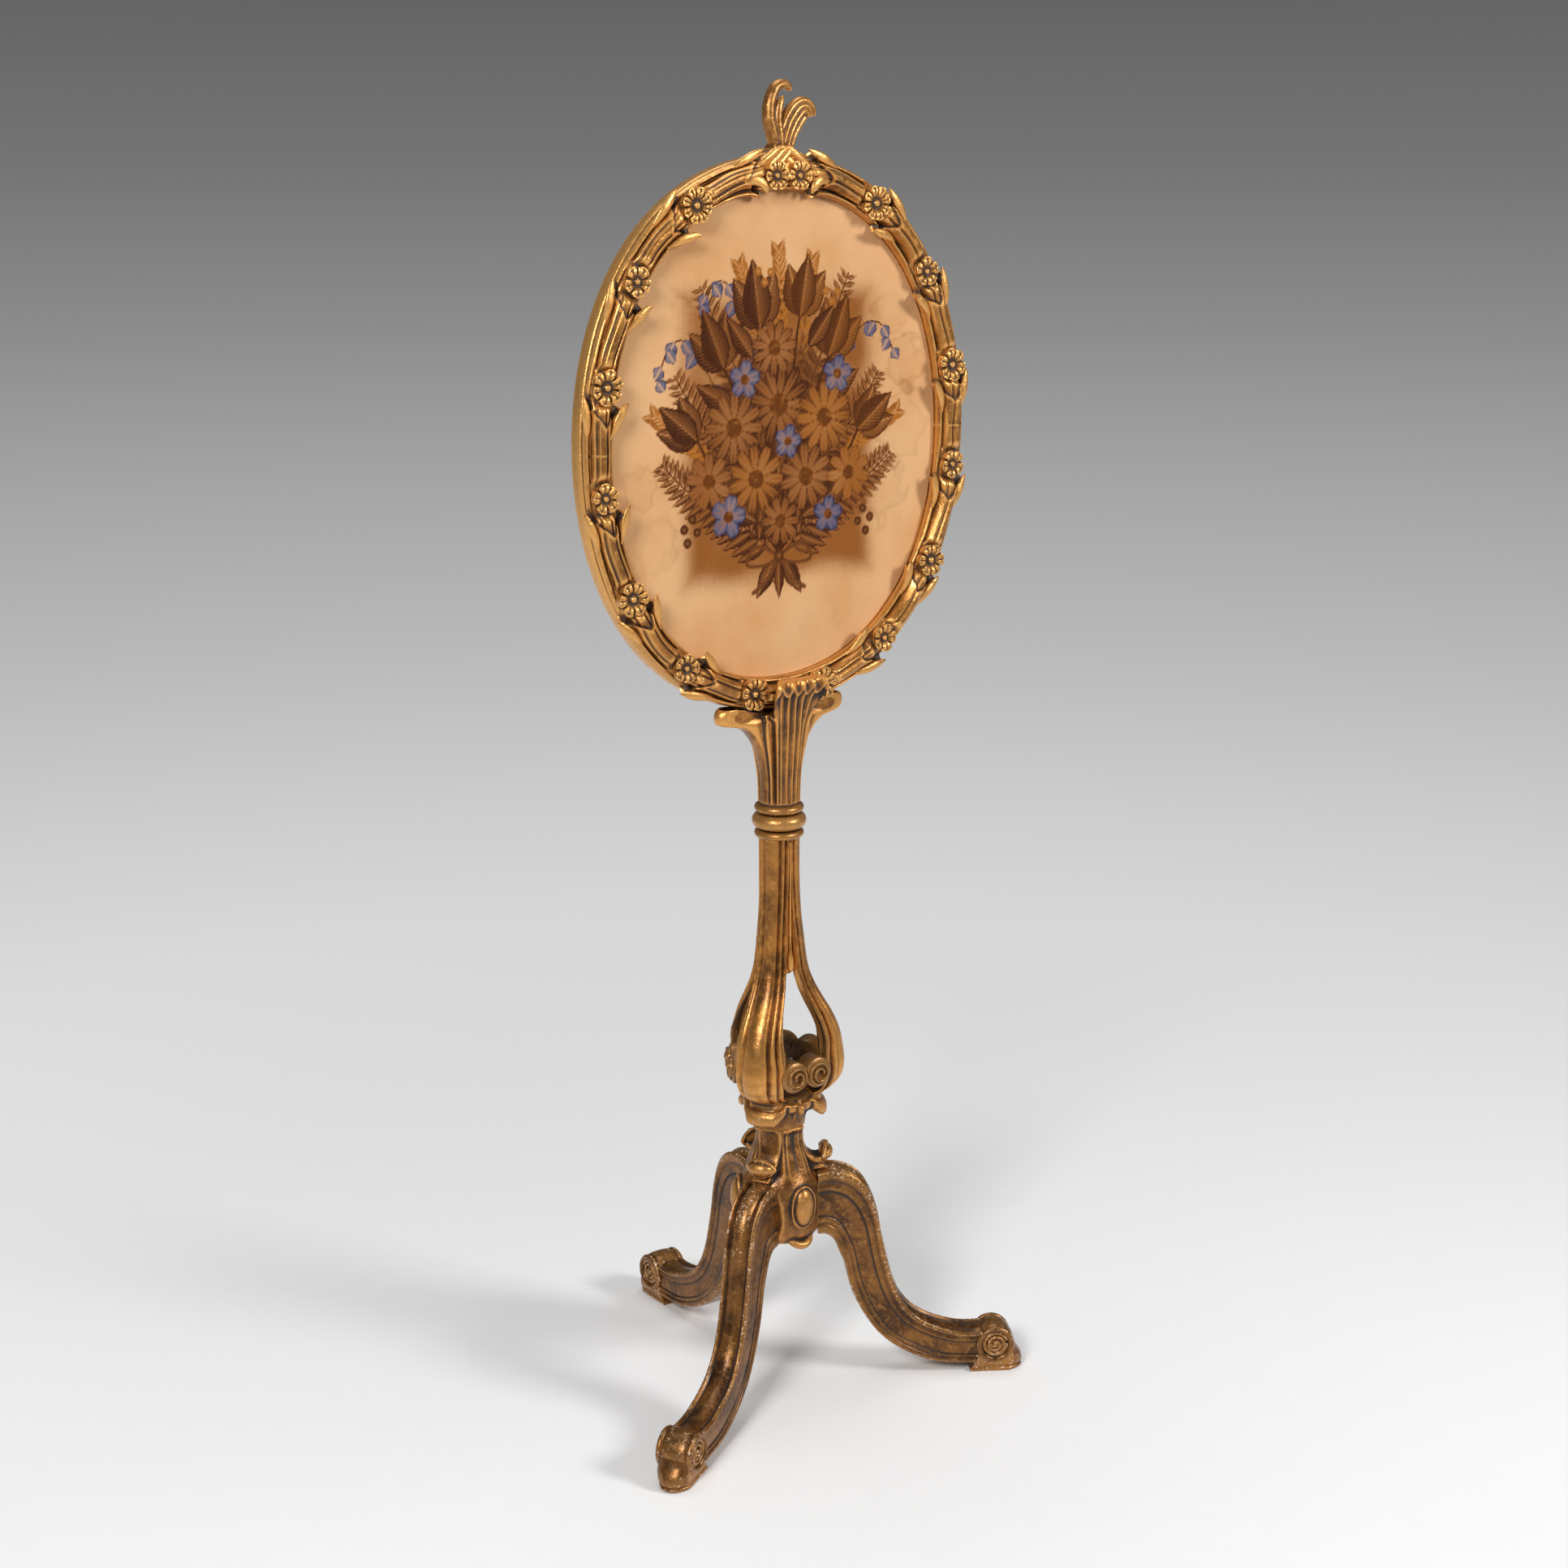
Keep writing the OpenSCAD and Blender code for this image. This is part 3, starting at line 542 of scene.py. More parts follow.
# Side views of a leg's outer and inner edge: share of the reach from hub to foot, share of the height
LEG_OUT = [[0, 0.992], [0.09, 1], [0.195, 0.975], [0.275, 0.912], [0.33, 0.80], [0.362, 0.665],
           [0.395, 0.55], [0.43, 0.448], [0.48, 0.36], [0.555, 0.288], [0.665, 0.236], [0.82, 0.2],
           [0.98, 0.2]]
LEG_IN = [[0, 1], [0.05, 0.993], [0.092, 0.947], [0.121, 0.868], [0.15, 0.785], [0.17, 0.684],
          [0.195, 0.585], [0.235, 0.485], [0.285, 0.385], [0.36, 0.277], [0.48, 0.172], [0.66, 0.085],
          [0.88, 0.06]]
# Half section of a leg: share of the half width, share of the way from the inner to the outer edge
LEG_HALF = [[0, 1.0], [0.2, 0.992], [0.4, 0.966], [0.56, 0.932], [0.64, 0.916], [0.71, 0.94],
            [0.82, 0.978], [0.94, 0.962], [1.0, 0.91], [0.97, 0.86], [0.915, 0.835], [0.885, 0.81],
            [0.9, 0.77], [0.92, 0.73], [0.895, 0.69], [0.84, 0.66], [0.85, 0.58], [0.865, 0.48],
            [0.855, 0.36], [0.84, 0.29], [0.89, 0.27], [0.92, 0.235], [0.895, 0.195], [0.9, 0.17],
            [0.955, 0.15], [0.985, 0.11], [0.96, 0.06], [0.86, 0.02], [0.5, 0.0], [0, 0.0]]
# Share by which a leg is narrower halfway
LEG_WAIST = 0.12


def leg_point(f, height):
    """Points of a side view of the leg, from shares of its reach and height."""
    return xyz(HUB_FLAT + f[:, 0] * (FOOT_RADIUS - HUB_FLAT), 0.0, f[:, 1] * height)


def leg_shaft(rows=170, count=110):
    """S-shaped shaft of a leg with beaded borders round its panels."""
    t = np.linspace(0, 1, rows)
    outer = leg_point(curve(LEG_OUT, t), knee_z)
    inner = leg_point(curve(LEG_IN, t), hub_z)
    half = smooth(LEG_HALF, count)
    section = np.vstack([half, (half * [-1, 1])[-2:0:-1]])
    width = LEG_WIDTH / 2 * (1 - LEG_WAIST * np.sin(math.pi * t))
    share = section[:, 1][None, :, None]
    rings = inner[:, None] * (1 - share) + outer[:, None] * share
    rings[..., 1] -= section[:, 0] * width[:, None]
    return skin(rings)


SCROLL_Z = SCROLL_D / 2 + SOLE_T
SCROLL_HALF = LEG_WIDTH / 2 + 2
# Half section of a foot scroll, from the middle of its side to the middle of its width: inset, radius
DRUM_HALF = [[4.5, 0.1], [4.5, 11], [4.2, 14], [1.6, 15.6], [0.2, 17.6], [0.2, 19.6], [1.6, 21.3],
             [3.6, 21.9], [5.4, 21.2], [6.4, 20.3], [7.6, 21.0], [10, 22.0], [14, 22.6], [21, 22.8]]
# Slices of the toe: height, front and back past the middle of the scroll, half width, rounding of its front
TOE = [[0, 30.5, -27.9, 17, 16], [1.2, 32.6, -27.9, 17.8, 16], [3.4, 33.2, -27.6, 18, 16],
       [4.6, 32, -27, 17.2, 15], [5.6, 32.2, -26, 17, 15], [8, 33.7, -24, 17.8, 14],
       [12, 33.7, -22, 18.2, 13], [17, 32, -20, 18.2, 11], [22, 28.6, -18, 18, 9],
       [27, 25.2, -12, 17.8, 6], [34, 22.6, -8, 17.6, 3]]
# Bead that winds in to the eye of a scroll
SPIRAL_TURNS = 2.3
SPIRAL_R = 12.4
SPIRAL_BEAD = 2.1
SPIRAL_INSET = 3.2
EYE = [3.8, 3.4, 3.8]
EYE_R = 2.4
EYE_INSET = 3.6


def spiral_bead(face, count=160):
    """Raised spiral on the side of a foot scroll, on the plane y = face."""
    t = np.linspace(0, 1, count)
    a = 0.4 + SPIRAL_TURNS * FULL_TURN * t
    r = SPIRAL_R * (1 - t) ** 0.85 + EYE_R
    thick = SPIRAL_BEAD * (1 - 0.35 * t)
    path = xyz(FOOT_RADIUS + r * np.cos(a), face, SCROLL_Z + r * np.sin(a))
    return sweep(path, thick, thick, (0, 1, 0), count=12, rows=count)


def foot_scroll():
    """Scroll at the end of a leg: a barrel with spirals at its sides, whose front runs down into a toe."""
    a = circle(120)
    line = smooth(DRUM_HALF, 60)
    line = np.vstack([line, (line * [-1, 1] + [2 * SCROLL_HALF, 0])[-2::-1]])
    inset, r = line[:, :1], line[:, 1:]
    parts = [skin(xyz(FOOT_RADIUS + r * np.cos(a), inset - SCROLL_HALF, SCROLL_Z + r * np.sin(a)))]
    for s in (-1, 1):
        parts.append(spiral_bead(s * (SCROLL_HALF - SPIRAL_INSET)))
        parts.append(ellipsoid((FOOT_RADIUS, s * (SCROLL_HALF - EYE_INSET), SCROLL_Z), EYE))
    slices = smooth(TOE, 60)
    slices[:, 0] = np.maximum(slices[:, 0], 0)
    v = np.linspace(-1, 1, 48)
    rings = []
    for height, front, back, wide, rounding in slices:
        edge = xyz(FOOT_RADIUS + front - rounding * np.abs(v) ** 2.6, wide * v, height)
        heel = xyz(FOOT_RADIUS + back, np.linspace(wide, -wide, 32)[1:-1], height)
        rings.append(np.vstack([edge, heel]))
    parts.append(skin(rings))
    return parts


def leg(k, name):
    """Leg in one of the three directions, with its foot."""
    parts = [spun(p, LEGS[k]) for p in [leg_shaft()] + foot_scroll()]
    obj = relief(piece(name + "_carved", parts))
    finish_piece(obj, "stand", gilt_worn, name)


# Hub with its neck

# Ribs and hollows round the neck: degrees off the nearest leg, half width in degrees, rise
HUB_RIBS = [[34, 4, 1.6], [42.5, 4, 1.4], [60, 14, -1.5]]
PANEL_DEPTH = 2.6
# Hollow leaf over a knee: reach past the neck, share of the height up to the collar, half width, thickness
KNEE_LEAF = [[-2.0, 0.97, 14.5, 4], [-1.5, 0.62, 13.5, 4], [3, 0.36, 12.5, 4.4], [10, 0.24, 12, 5.4],
             [17, 0.22, 12.5, 6], [20.5, 0.27, 12.5, 5.5], [23, 0.38, 9, 4.5], [25, 0.52, 5, 3]]
KNEE_RIM = 2.2
# Wood under the leaf: reach past the neck, share of the height, drop
KNEE_FILL = [[-7, 0.6, 0], [-2, 0.5, 0], [6, 0.2, 0], [18, 0.1, 0], [23, 0, 0.6], [-7, 0, 2]]
KNEE_FILL_HALF = 10
# Boss on the end of the leaf: half height and half depth from one end to the other
KNEE_BOSS = [[0.8, 0.8], [5.2, 5], [7.6, 7.4], [8.4, 8], [7.6, 7.4], [5.2, 5], [0.8, 0.8]]
KNEE_BOSS_HALF = 16.5
KNEE_RING = [17.8, 10.3]
# Boss between two legs with its rim
GAP_BOSS = [10, 13, 22]
GAP_RING = [15.4, 24]
# Lip under that boss: reach past the flat, place across, height, size
GAP_LIP = [[-8, -17, 10, 3], [1, -10, 3, 4], [4, 0, 0, 4.6], [1, 10, 3, 4], [-8, 17, 10, 3]]


def hub_body(rows=150, count=240):
    """Hub and neck: concave panels over the knees between paired ribs."""
    neck_h = neck_z - knee_z
    top_r = HUB_R - 9
    line = smooth([[AXIS, hub_z], [HUB_R - 14, hub_z], [HUB_R - 4, hub_z + 7], [HUB_R, hub_z + 0.3 * hub_h],
                   [HUB_R, hub_z + 0.55 * hub_h], [HUB_R - 3, hub_z + 0.82 * hub_h], [top_r, knee_z],
                   [(top_r + NECK_R) / 2, knee_z + 0.3 * neck_h], [NECK_R, knee_z + 0.62 * neck_h],
                   [NECK_R - 0.5, neck_z - 8], [NECK_R + 2, neck_z], [AXIS, neck_z]], rows)
    radius, z = line[:, :1], line[:, 1:]
    a = circle(count)
    off = off_leg(a)
    panel = -PANEL_DEPTH * (1 - step(off, 24, 31))
    for middle, half, rise in HUB_RIBS:
        panel += rise * bump(off, middle, half)
    flat = HUB_FLAT / np.maximum(np.cos(np.radians(off)), 0.5)
    lower = np.where(off < 58, np.minimum(radius, flat - 0.2), radius)
    lower = np.where(z < knee_z, lower, radius)
    r = np.where(radius > 5, lower + panel * step(z, knee_z - 8, knee_z + 12), radius)
    return skin(polar(r, a, z))


def knee_leaf():
    """Hollow leaf with raised borders that sweeps from the neck out over a knee to an oval boss."""
    z0 = knee_z + 0.4
    dz = neck_z - z0
    reach, share, wide, thick = np.array(KNEE_LEAF).T
    parts = [blade(np.stack([NECK_R + reach, z0 + dz * share], -1), wide, thick, KNEE_RIM)]
    reach, share, drop = np.array(KNEE_FILL).T
    side = smooth(np.stack([NECK_R + reach, z0 + dz * share - drop], -1), 60)
    fill = [xyz(side[:, 0], y, side[:, 1]) for y in np.linspace(-KNEE_FILL_HALF, KNEE_FILL_HALF, 7)]
    parts.append(skin(fill))
    high, deep = np.array(KNEE_BOSS).T
    across = np.linspace(-1, 1, len(high))
    bow = 1 - across**2
    x, z = NECK_R + 25.5, z0 + dz * 0.31
    boss = xyz(x - 3.5 + 3.5 * bow, KNEE_BOSS_HALF * across, z)
    parts.append(sweep(boss, high, deep, (1, 0, 0), count=30, rows=50))
    for s in (-1, 1):
        ring = xyz(x - 4.5 + 3.5 * bow, KNEE_RING[0] * across, z + s * KNEE_RING[1] * bow)
        parts.append(sweep(ring, np.full(7, 1.6), np.full(7, 2.4), (1, 0, 0), count=12, rows=50))
    return parts


def gap_boss():
    """Oval boss with a rim and a lip under it, which lie between two legs."""
    x, z = HUB_FLAT + 3.0, hub_z + 0.58 * hub_h
    turn = np.linspace(0, FULL_TURN, 60)
    ring = xyz(x + 1.0, GAP_RING[0] * np.sin(turn), z + GAP_RING[1] * np.cos(turn))
    lip = np.array(GAP_LIP)
    size = lip[:, 3]
    return [ellipsoid((x, 0, z), GAP_BOSS),
            sweep(ring, np.full(60, 1.2), np.full(60, 2.0), (1, 0, 0), count=12, rows=90),
            sweep(lip[:, :3] + [HUB_FLAT, 0, hub_z], size, size, (0, 0, 1))]


def hub():
    """Hub with a leaf over each knee and a boss in each gap."""
    parts = [hub_body()]
    for a in LEGS:
        parts += [spun(p, a) for p in knee_leaf()]
        parts += [spun(p, a + SIXTH_TURN) for p in gap_boss()]
    obj = fused(piece("hub_carved", parts), voxel=0.88, rounds=3)
    finish_piece(relief(obj, rounds=40, broad=90), "stand", gilt_old, "base_hub", sharp=80)


# Radius and height of the drop under the hub
PENDANT = [[AXIS, 0], [5, 1.5], [8.5, 5], [12, 8], [16, 11.5], [17, 15.2], [AXIS, 15.2]]


def pendant():
    """Turned drop under the hub."""
    line = smooth(np.array(PENDANT) + [0, foot("hub_pendant")], 60)
    obj = relief(piece("pendant_turned", [turned(line)]))
    finish_piece(obj, "stand", gilt_old, "hub_pendant")


# Shell collar under the stems

# Side views of a lobe and of a gap: share of the reach past the neck, share of the height
SHELL_LOBE = [[0, 0], [0.05, 0.2], [0.2, 0.36], [0.55, 0.42], [0.9, 0.34], [1.15, 0.32], [1.34, 0.43],
              [1.32, 0.6], [1.16, 0.7], [1.03, 0.75], [0.99, 0.82], [1.0, 0.92], [1.02, 1], [-1.5, 1.0]]
SHELL_GAP = [[0, 0], [0.02, 0.2], [0.08, 0.42], [0.2, 0.6], [0.42, 0.62], [0.6, 0.6], [0.74, 0.68],
             [0.74, 0.8], [0.6, 0.86], [0.5, 0.9], [0.48, 0.94], [0.52, 0.97], [0.5, 1], [-1.5, 1.0]]
SHELL_REACH = 18


def shell_collar(rows=110, count=420):
    """Three rolled shell lobes with ruffled lips and a small curl in each gap."""
    a = circle(count)
    off = off_leg(a)
    t = np.linspace(0, 1, rows)
    w = ((1 - step(off, 16, 38)) + 0.3 * bump(off, 60, 8))[:, None]
    lip = bump(t, 0.46, 0.26)[:, None]
    f = curve(SHELL_GAP, t)[:, None] * (1 - w) + curve(SHELL_LOBE, t)[:, None] * w
    r = NECK_R + 2 + f[..., 0] * SHELL_REACH + lip * 2.4 * bump(off, 31, 6)
    z = neck_z + f[..., 1] * (stem_z - neck_z)
    z = z - lip * 2.2 * (1 - step(off, 4, 34)) + lip * 1.6 * bump(off, 36, 7)
    rings = polar(r, a, np.clip(z, neck_z, stem_z))
    obj = relief(piece("shell_collar_carved", [skin(rings)]), rounds=60, broad=90)
    finish_piece(obj, "stand", gilt_old, "shell_collar")


# Stems of the pole and the openwork bulb

# A stem at shares of its height: swell, radius of its face, thickness and half angle of its face
STEM_SWELL = [[0, 0.62], [0.02, 0.80], [0.052, 0.935], [0.104, 1], [0.163, 0.967], [0.225, 0.902],
              [0.301, 0.728], [0.363, 0.522], [0.422, 0.337], [0.484, 0.207], [0.547, 0.141],
              [0.61, 0.098], [0.675, 0.054], [0.76, 0.017], [0.87, 0], [1, 0]]
STEM_ARC = [[0, 1.25], [0.1, 1.4], [0.3, 1.3], [0.5, 1.08], [0.65, 1], [1, 1]]
STEM_THICK = [[0, 20], [0.05, 19], [0.15, 17], [0.35, 18], [0.45, 14], [0.55, 8], [0.65, 6.6], [1, 6.6]]
STEM_OPEN = [[0, 70], [0.05, 76], [0.12, 76], [0.22, 66], [0.34, 59.6], [1, 59.6]]
# Beads and hollows across the face of a stem: share of the half angle, rise
STEM_HALF = [[0, 1.2], [0.14, 1.05], [0.27, 0.5], [0.38, -0.7], [0.44, -2.4], [0.48, -2.7],
             [0.53, -0.9], [0.59, 0.7], [0.66, 0.9], [0.71, -0.3], [0.75, -2.3], [0.79, -2.4],
             [0.84, -0.6], [0.895, 0.55], [0.945, 0.3], [0.985, -0.9], [1, -2.2]]
STEM_FACE = [[-a, r] for a, r in STEM_HALF[:0:-1]] + STEM_HALF
# Height and front of a volute, and its disc: distance from the pole axis, share of its radius
VOLUTE_Z = stem_z + VOLUTE_R + VOLUTE_LIFT
VOLUTE_X = BULB_R - 17.5
VOLUTE_DISC = [[BULB_R - 40, 1.05], [BULB_R - 38, 1.13], [VOLUTE_X - 1.5, 1.13], [VOLUTE_X, 1],
               [VOLUTE_X + 0.6, 0.1]]
# Valley depths in millimetres: painted shade with dirt on the volutes, and more of it on the faces towards
# the pole axis
CURL_SHADE_AND_DIRT = 0.95
INNER_SHADE_AND_DIRT = 1.8
# Reed in a seam between two stems, from the top down: inset, share of the height, half width, half depth
SEAM_REED = [[1.5, 1 - 3 / stem_h, 0.9, 2], [1.6, 0.62, 1.6, 2.2], [0.5, 0.53, 3.6, 3.4],
             [0.8, 0.497, 3.4, 3.2], [3, 0.49, 1.2, 1.2]]
CORE_TOP = 20
# Rings of the collar: radius past the pole, from and to a share of the height
COLLAR_RINGS = [[0.8, 0.0, 0.24], [-0.7, 0.27, 0.73], [0.8, 0.76, 1.0]]
# Valley depth in millimetres that darkens the whole collar
COLLAR_DARKENING = 0.6


def stem_lines(h):
    """Outer radius, arc radius and half angle of a stem at a share of its height."""
    ro = SHAFT_R + along(STEM_SWELL, h) * (BULB_R - SHAFT_R)
    return ro, SHAFT_R * along(STEM_ARC, h), np.radians(along(STEM_OPEN, h))


def stem_shaft(rows=210, count=150):
    """Reeded stave that swells into one third of the bulb."""
    h = np.linspace(0, 1, rows)
    ro, rho, psi = stem_lines(h)
    thick = np.maximum(along(STEM_THICK, h), SHAFT_R - CORE_R + 0.5)
    face = smooth(STEM_FACE, count)
    back = np.linspace(1, -1, 26)
    strong = 1 + 0.5 * bump(h, 0.2, 0.3)
    front_r = rho[:, None] + face[:, 1] * strong[:, None] - 0.5
    back_r = (rho - thick)[:, None] + 0 * back
    angle = psi[:, None] * np.concatenate([face[:, 0], back])
    rings = polar(np.hstack([front_r, back_r]), angle, (stem_z + h * stem_h)[:, None])
    rings[..., 0] += (ro - rho)[:, None]
    return skin(rings)


def volute(side, lead_rows=9, rows=120):
    """Border of a stem that runs down beside a gap and curls into a volute, in the frame of the gap."""
    yc = -side * (VOLUTE_R + 0.3)
    h = np.linspace(0.4, 0.19, lead_rows)
    ro, rho, psi = stem_lines(h)
    edge = rho - np.linspace(5.5, 1.5, lead_rows)
    x, y = ro - rho + edge * np.cos(psi), edge * np.sin(psi)
    lead_x = x * math.cos(SIXTH_TURN) + y * math.sin(SIXTH_TURN)
    lead_y = -side * (x * math.sin(SIXTH_TURN) - y * math.cos(SIXTH_TURN))
    lead = xyz(lead_x, lead_y, stem_z + h * stem_h)
    t = np.linspace(0, 1, rows)
    a = math.pi * (-0.05 - 4.0 * t)
    r = (VOLUTE_R - 3.4) * (1 - t) ** 0.6 + 2.2
    from_lead = (lead_x[-1] - VOLUTE_X) * (1 - step(t, 0, 0.16))
    dish = 4.5 * (r / VOLUTE_R) ** 2
    curl = xyz(VOLUTE_X + (from_lead + 1.5 - dish), yc - side * r * np.cos(a), VOLUTE_Z + r * np.sin(a))
    size = np.concatenate([np.linspace(0.5, 2.2, lead_rows), 2.3 - 0.7 * t])
    deep = np.concatenate([np.linspace(0.8, 4.6, lead_rows), np.full(rows, 5.2)])
    parts = [sweep(np.vstack([lead, curl]), size, deep, (1, 0, 0), count=18, rows=190, power=0.9)]
    ring = circle(60)
    layers = []
    for x, share in VOLUTE_DISC:
        r = VOLUTE_R * share
        y = np.minimum(r * np.cos(ring) * side, VOLUTE_R + 0.2) * side
        layers.append(xyz(x, yc + y, VOLUTE_Z + r * np.sin(ring)))
    parts.append(skin(layers))
    return parts


def stem(k, name):
    """Stem in one of the three directions, with a volute at each side."""
    parts = [spun(stem_shaft(), LEGS[k])]
    for s in (-1, 1):
        parts += [spun(p, LEGS[k] + s * SIXTH_TURN) for p in volute(s)]
    # The volutes and the faces towards the axis get painted shade with dirt
    obj = darken_valleys(relief(piece(name + "_carved", parts)), CURL_SHADE_AND_DIRT, len(parts[0][0]), INNER_SHADE_AND_DIRT)
    finish_piece(obj, "stand", gilt_mid, name)


def pole_core():
    """Core of the pole with the reeds that fill the seams between the staves."""
    low, high = foot("pole_core"), stem_top + CORE_TOP
    core = [[AXIS, low], [CORE_R - 1, low], [CORE_R, low + 3], [CORE_R, high], [AXIS, high]]
    inset, share, wide, deep = np.array(SEAM_REED).T
    reed = sweep(xyz(SHAFT_R - inset, 0.0, stem_z + share * stem_h), wide, deep, (1, 0, 0))
    parts = [turned(core, count=90)] + [spun(reed, a + SIXTH_TURN) for a in LEGS]
    obj = relief(piece("pole_core_reeds", parts))
    finish_piece(obj, "stand", gilt_mid, "pole_core")


def ring_collar():
    """Turned collar: a thick ring between two beads."""
    z, h = foot("ring_collar"), head("ring_collar") - foot("ring_collar")
    a = np.radians(np.linspace(-90, 90, 24))
    line = [[[AXIS, z]]]
    for past, lo, hi in COLLAR_RINGS:
        half, middle = (hi - lo) / 2 * h, z + (lo + hi) / 2 * h
        line.append(np.stack([SHAFT_R + past + half * np.cos(a), middle + half * np.sin(a)], -1))
    line.append([[AXIS, z + h]])
    obj = darken_valleys(relief(piece("ring_collar_turned", [turned(np.vstack(line))])), COLLAR_DARKENING)
    finish_piece(obj, "stand", gilt_mid, "ring_collar", sharp=70)


# Leaf capital

# Side views of the capital: share of the reach beyond the pole, share of the height
LEAF_LONG = [[0, 0], [0.01, 0.25], [0.05, 0.42], [0.12, 0.57], [0.24, 0.70], [0.39, 0.81], [0.57, 0.875],
             [0.78, 0.905], [0.95, 0.935], [1, 1.01], [0.95, 1.085], [0.8, 1.1], [0.45, 1.04], [0.05, 1],
             [-0.3, 1]]
LEAF_FRONT = [[0, 0], [0.01, 0.25], [0.035, 0.46], [0.06, 0.64], [0.08, 0.80], [0.09, 0.96], [0.1, 1.09],
              [0.14, 1.19], [0.23, 1.245], [0.31, 1.25], [0.345, 1.31], [0.29, 1.38], [0.11, 1.37],
              [0.0, 1.1], [-0.3, 1]]
LEAF_VALLEY = [[0, 0], [0.0, 0.25], [0.03, 0.46], [0.075, 0.64], [0.12, 0.80], [0.16, 0.90],
               [0.185, 0.94], [0.19, 0.96], [0.19, 0.975], [0.185, 0.985], [0.17, 0.995], [0.12, 1],
               [0.06, 1], [0.0, 1], [-0.3, 1]]
FLUTE_RATE = 10.5


def capital(rows=190, count=500):
    """Trumpet of four fluted leaves with rolled ends: two long ones aside, two upright ones between."""
    a = circle(count)
    t = np.linspace(0, 1, rows)
    long, front, valley = curve(LEAF_LONG, t), curve(LEAF_FRONT, t), curve(LEAF_VALLEY, t)
    off_x = np.degrees(np.arccos(np.clip(np.abs(np.cos(a)), 0, 1)))
    off_y = 90 - off_x
    reach = LEAF_REACH - SHAFT_R
    aside = (SHAFT_R + long[:, :1] * reach) * np.sin(np.radians(off_x))
    blunt = 1 - 0.3 * step(aside, 2, 24)
    wl = (1 - step(aside, 10, 25)) * (1 - step(off_x, 28, 44))
    spread = 9 * step(t, 0.35, 0.6)[:, None]
    off_fan = off_y - spread
    wf = (1 - step(off_fan, 30, 46 - 0.6 * spread)) * (1 - wl)
    tip = np.stack([long[:, :1] * blunt, long[:, 1:] + 0 * blunt], -1)
    f = tip * wl[..., None] + front[:, None] * wf[..., None] + valley[:, None] * (1 - wl - wf)[..., None]
    body = (step(t, -0.15, 0.1) * (1 - step(t, 0.72, 0.84)))[:, None]
    flutes = (1 - 2 * np.abs(np.sin(np.radians(off_y) * FLUTE_RATE))) * (1 - step(off_fan, 30, 38))
    flute = flutes * (1.1 + 1.0 * step(t, 0.2, 0.6))[:, None]
    ridge = 2.2 * bump(off_fan, 42, 4.5) - 2.6 * bump(off_fan, 50, 6)
    ridge = ridge + 1.6 * bump(off_x, 30, 5) - 1.8 * bump(off_x, 22, 6)
    lip = bump(t, 0.68, 0.13)[:, None]
    dish = (step(t, 0.74, 0.8) * (1 - step(t, 0.88, 0.95)))[:, None] * (1 - step(aside, 4, 13))
    fan = step(t, 0.25, 0.5)[:, None] * wf * (1 / np.cos(np.radians(np.minimum(off_y, 46))) - 1)
    r = (SHAFT_R + f[..., 0] * reach) * (1 + fan) + (flute + ridge) * body
    z = capital_z + f[..., 1] * (seat_z - capital_z) + 4.6 * lip * flutes * wf - 6 * dish * wl
    obj = relief(piece("leaf_capital_carved", [skin(polar(r, a, z))]), rounds=44, broad=60)
    finish_piece(obj, "screen", gilt_mid, "leaf_capital")


# Oval frame


def oval_point(t, p):
    """Points of the oval at t degrees from its top, p outside the middle of the moulding."""
    t = np.radians(t)
    swell = 1 + FULLNESS * np.sin(2 * t) ** 2
    change = 2 * FULLNESS * np.sin(4 * t)
    nx = OVAL_B * (np.sin(t) * swell - np.cos(t) * change)
    nz = OVAL_A * (np.cos(t) * swell + np.sin(t) * change)
    size = np.hypot(nx, nz)
    return OVAL_A * np.sin(t) * swell + p * nx / size, OVAL_Z + OVAL_B * np.cos(t) * swell + p * nz / size


# Length of the moulding's middle line from the top, for each angle down one side
ANGLES = np.linspace(0, 180, 1801)
ARC = np.concatenate([[0], np.cumsum(np.hypot(*np.diff(oval_point(ANGLES, 0.0))))])


def arc_at(angle):
    """Length from the top at an angle."""
    return np.interp(angle, ANGLES, ARC)


def angle_at(arc):
    """Angle at a length from the top."""
    return np.interp(arc, ARC, ANGLES)


MIDDLE_ARC = arc_at(90)
FLOWER_ARCS = arc_at(np.array(FLOWERS))
CALYX_BELOW = 27.0
CREST_CALYX = 44.0
CALYX_ARCS = np.concatenate([[CREST_CALYX], FLOWER_ARCS[:6] + CALYX_BELOW])
ROW_STEP = 1.25

# Rise of the moulding across its face, between two flowers and under a flower
REEDS = [[-17, 4.5], [-16, 8], [-14.2, 10.5], [-12.4, 9.4], [-11.2, 6.8], [-10.2, 11], [-8, 15.6],
         [-5.8, 18], [-4.4, 18.2], [-3.2, 16.4], [-2.3, 16.6], [-1.1, 18.8], [1.8, 20], [4.8, 19.2],
         [6.3, 17.8], [7.1, 15.2], [7.9, 14.8], [9.2, 14.8], [10.6, 11.8], [11.5, 7], [12.6, 9.6],
         [14.4, 10.8], [16, 9], [17, 6]]
FLOWER_SEAT = [[-17, 5], [-16, 8], [-14.4, 9.6], [-12.6, 9.2], [-10, 11], [-7, 12], [7, 12], [10, 11],
               [12.6, 9.4], [14.4, 10], [16, 8.6], [17, 6]]
# Outer and inner side of the moulding with its back: place across, rise
OUTER_SIDE = [[HALF_W, -BACK], [17.4, -BACK + 1.2], [17.5, -8], [17.5, -3], [17.5, 0.8], [16.9, 1.9],
              [15.4, 2.6], [15.2, 3.4], [16, 4.4]]
INNER_SIDE = [[-16.6, 3], [-16.6, 1.2], [-16.8, 0.0], [REBATE_P, 0.0], [REBATE_P, -6], [REBATE_P, -BACK],
              [0, -BACK], [8, -BACK]]
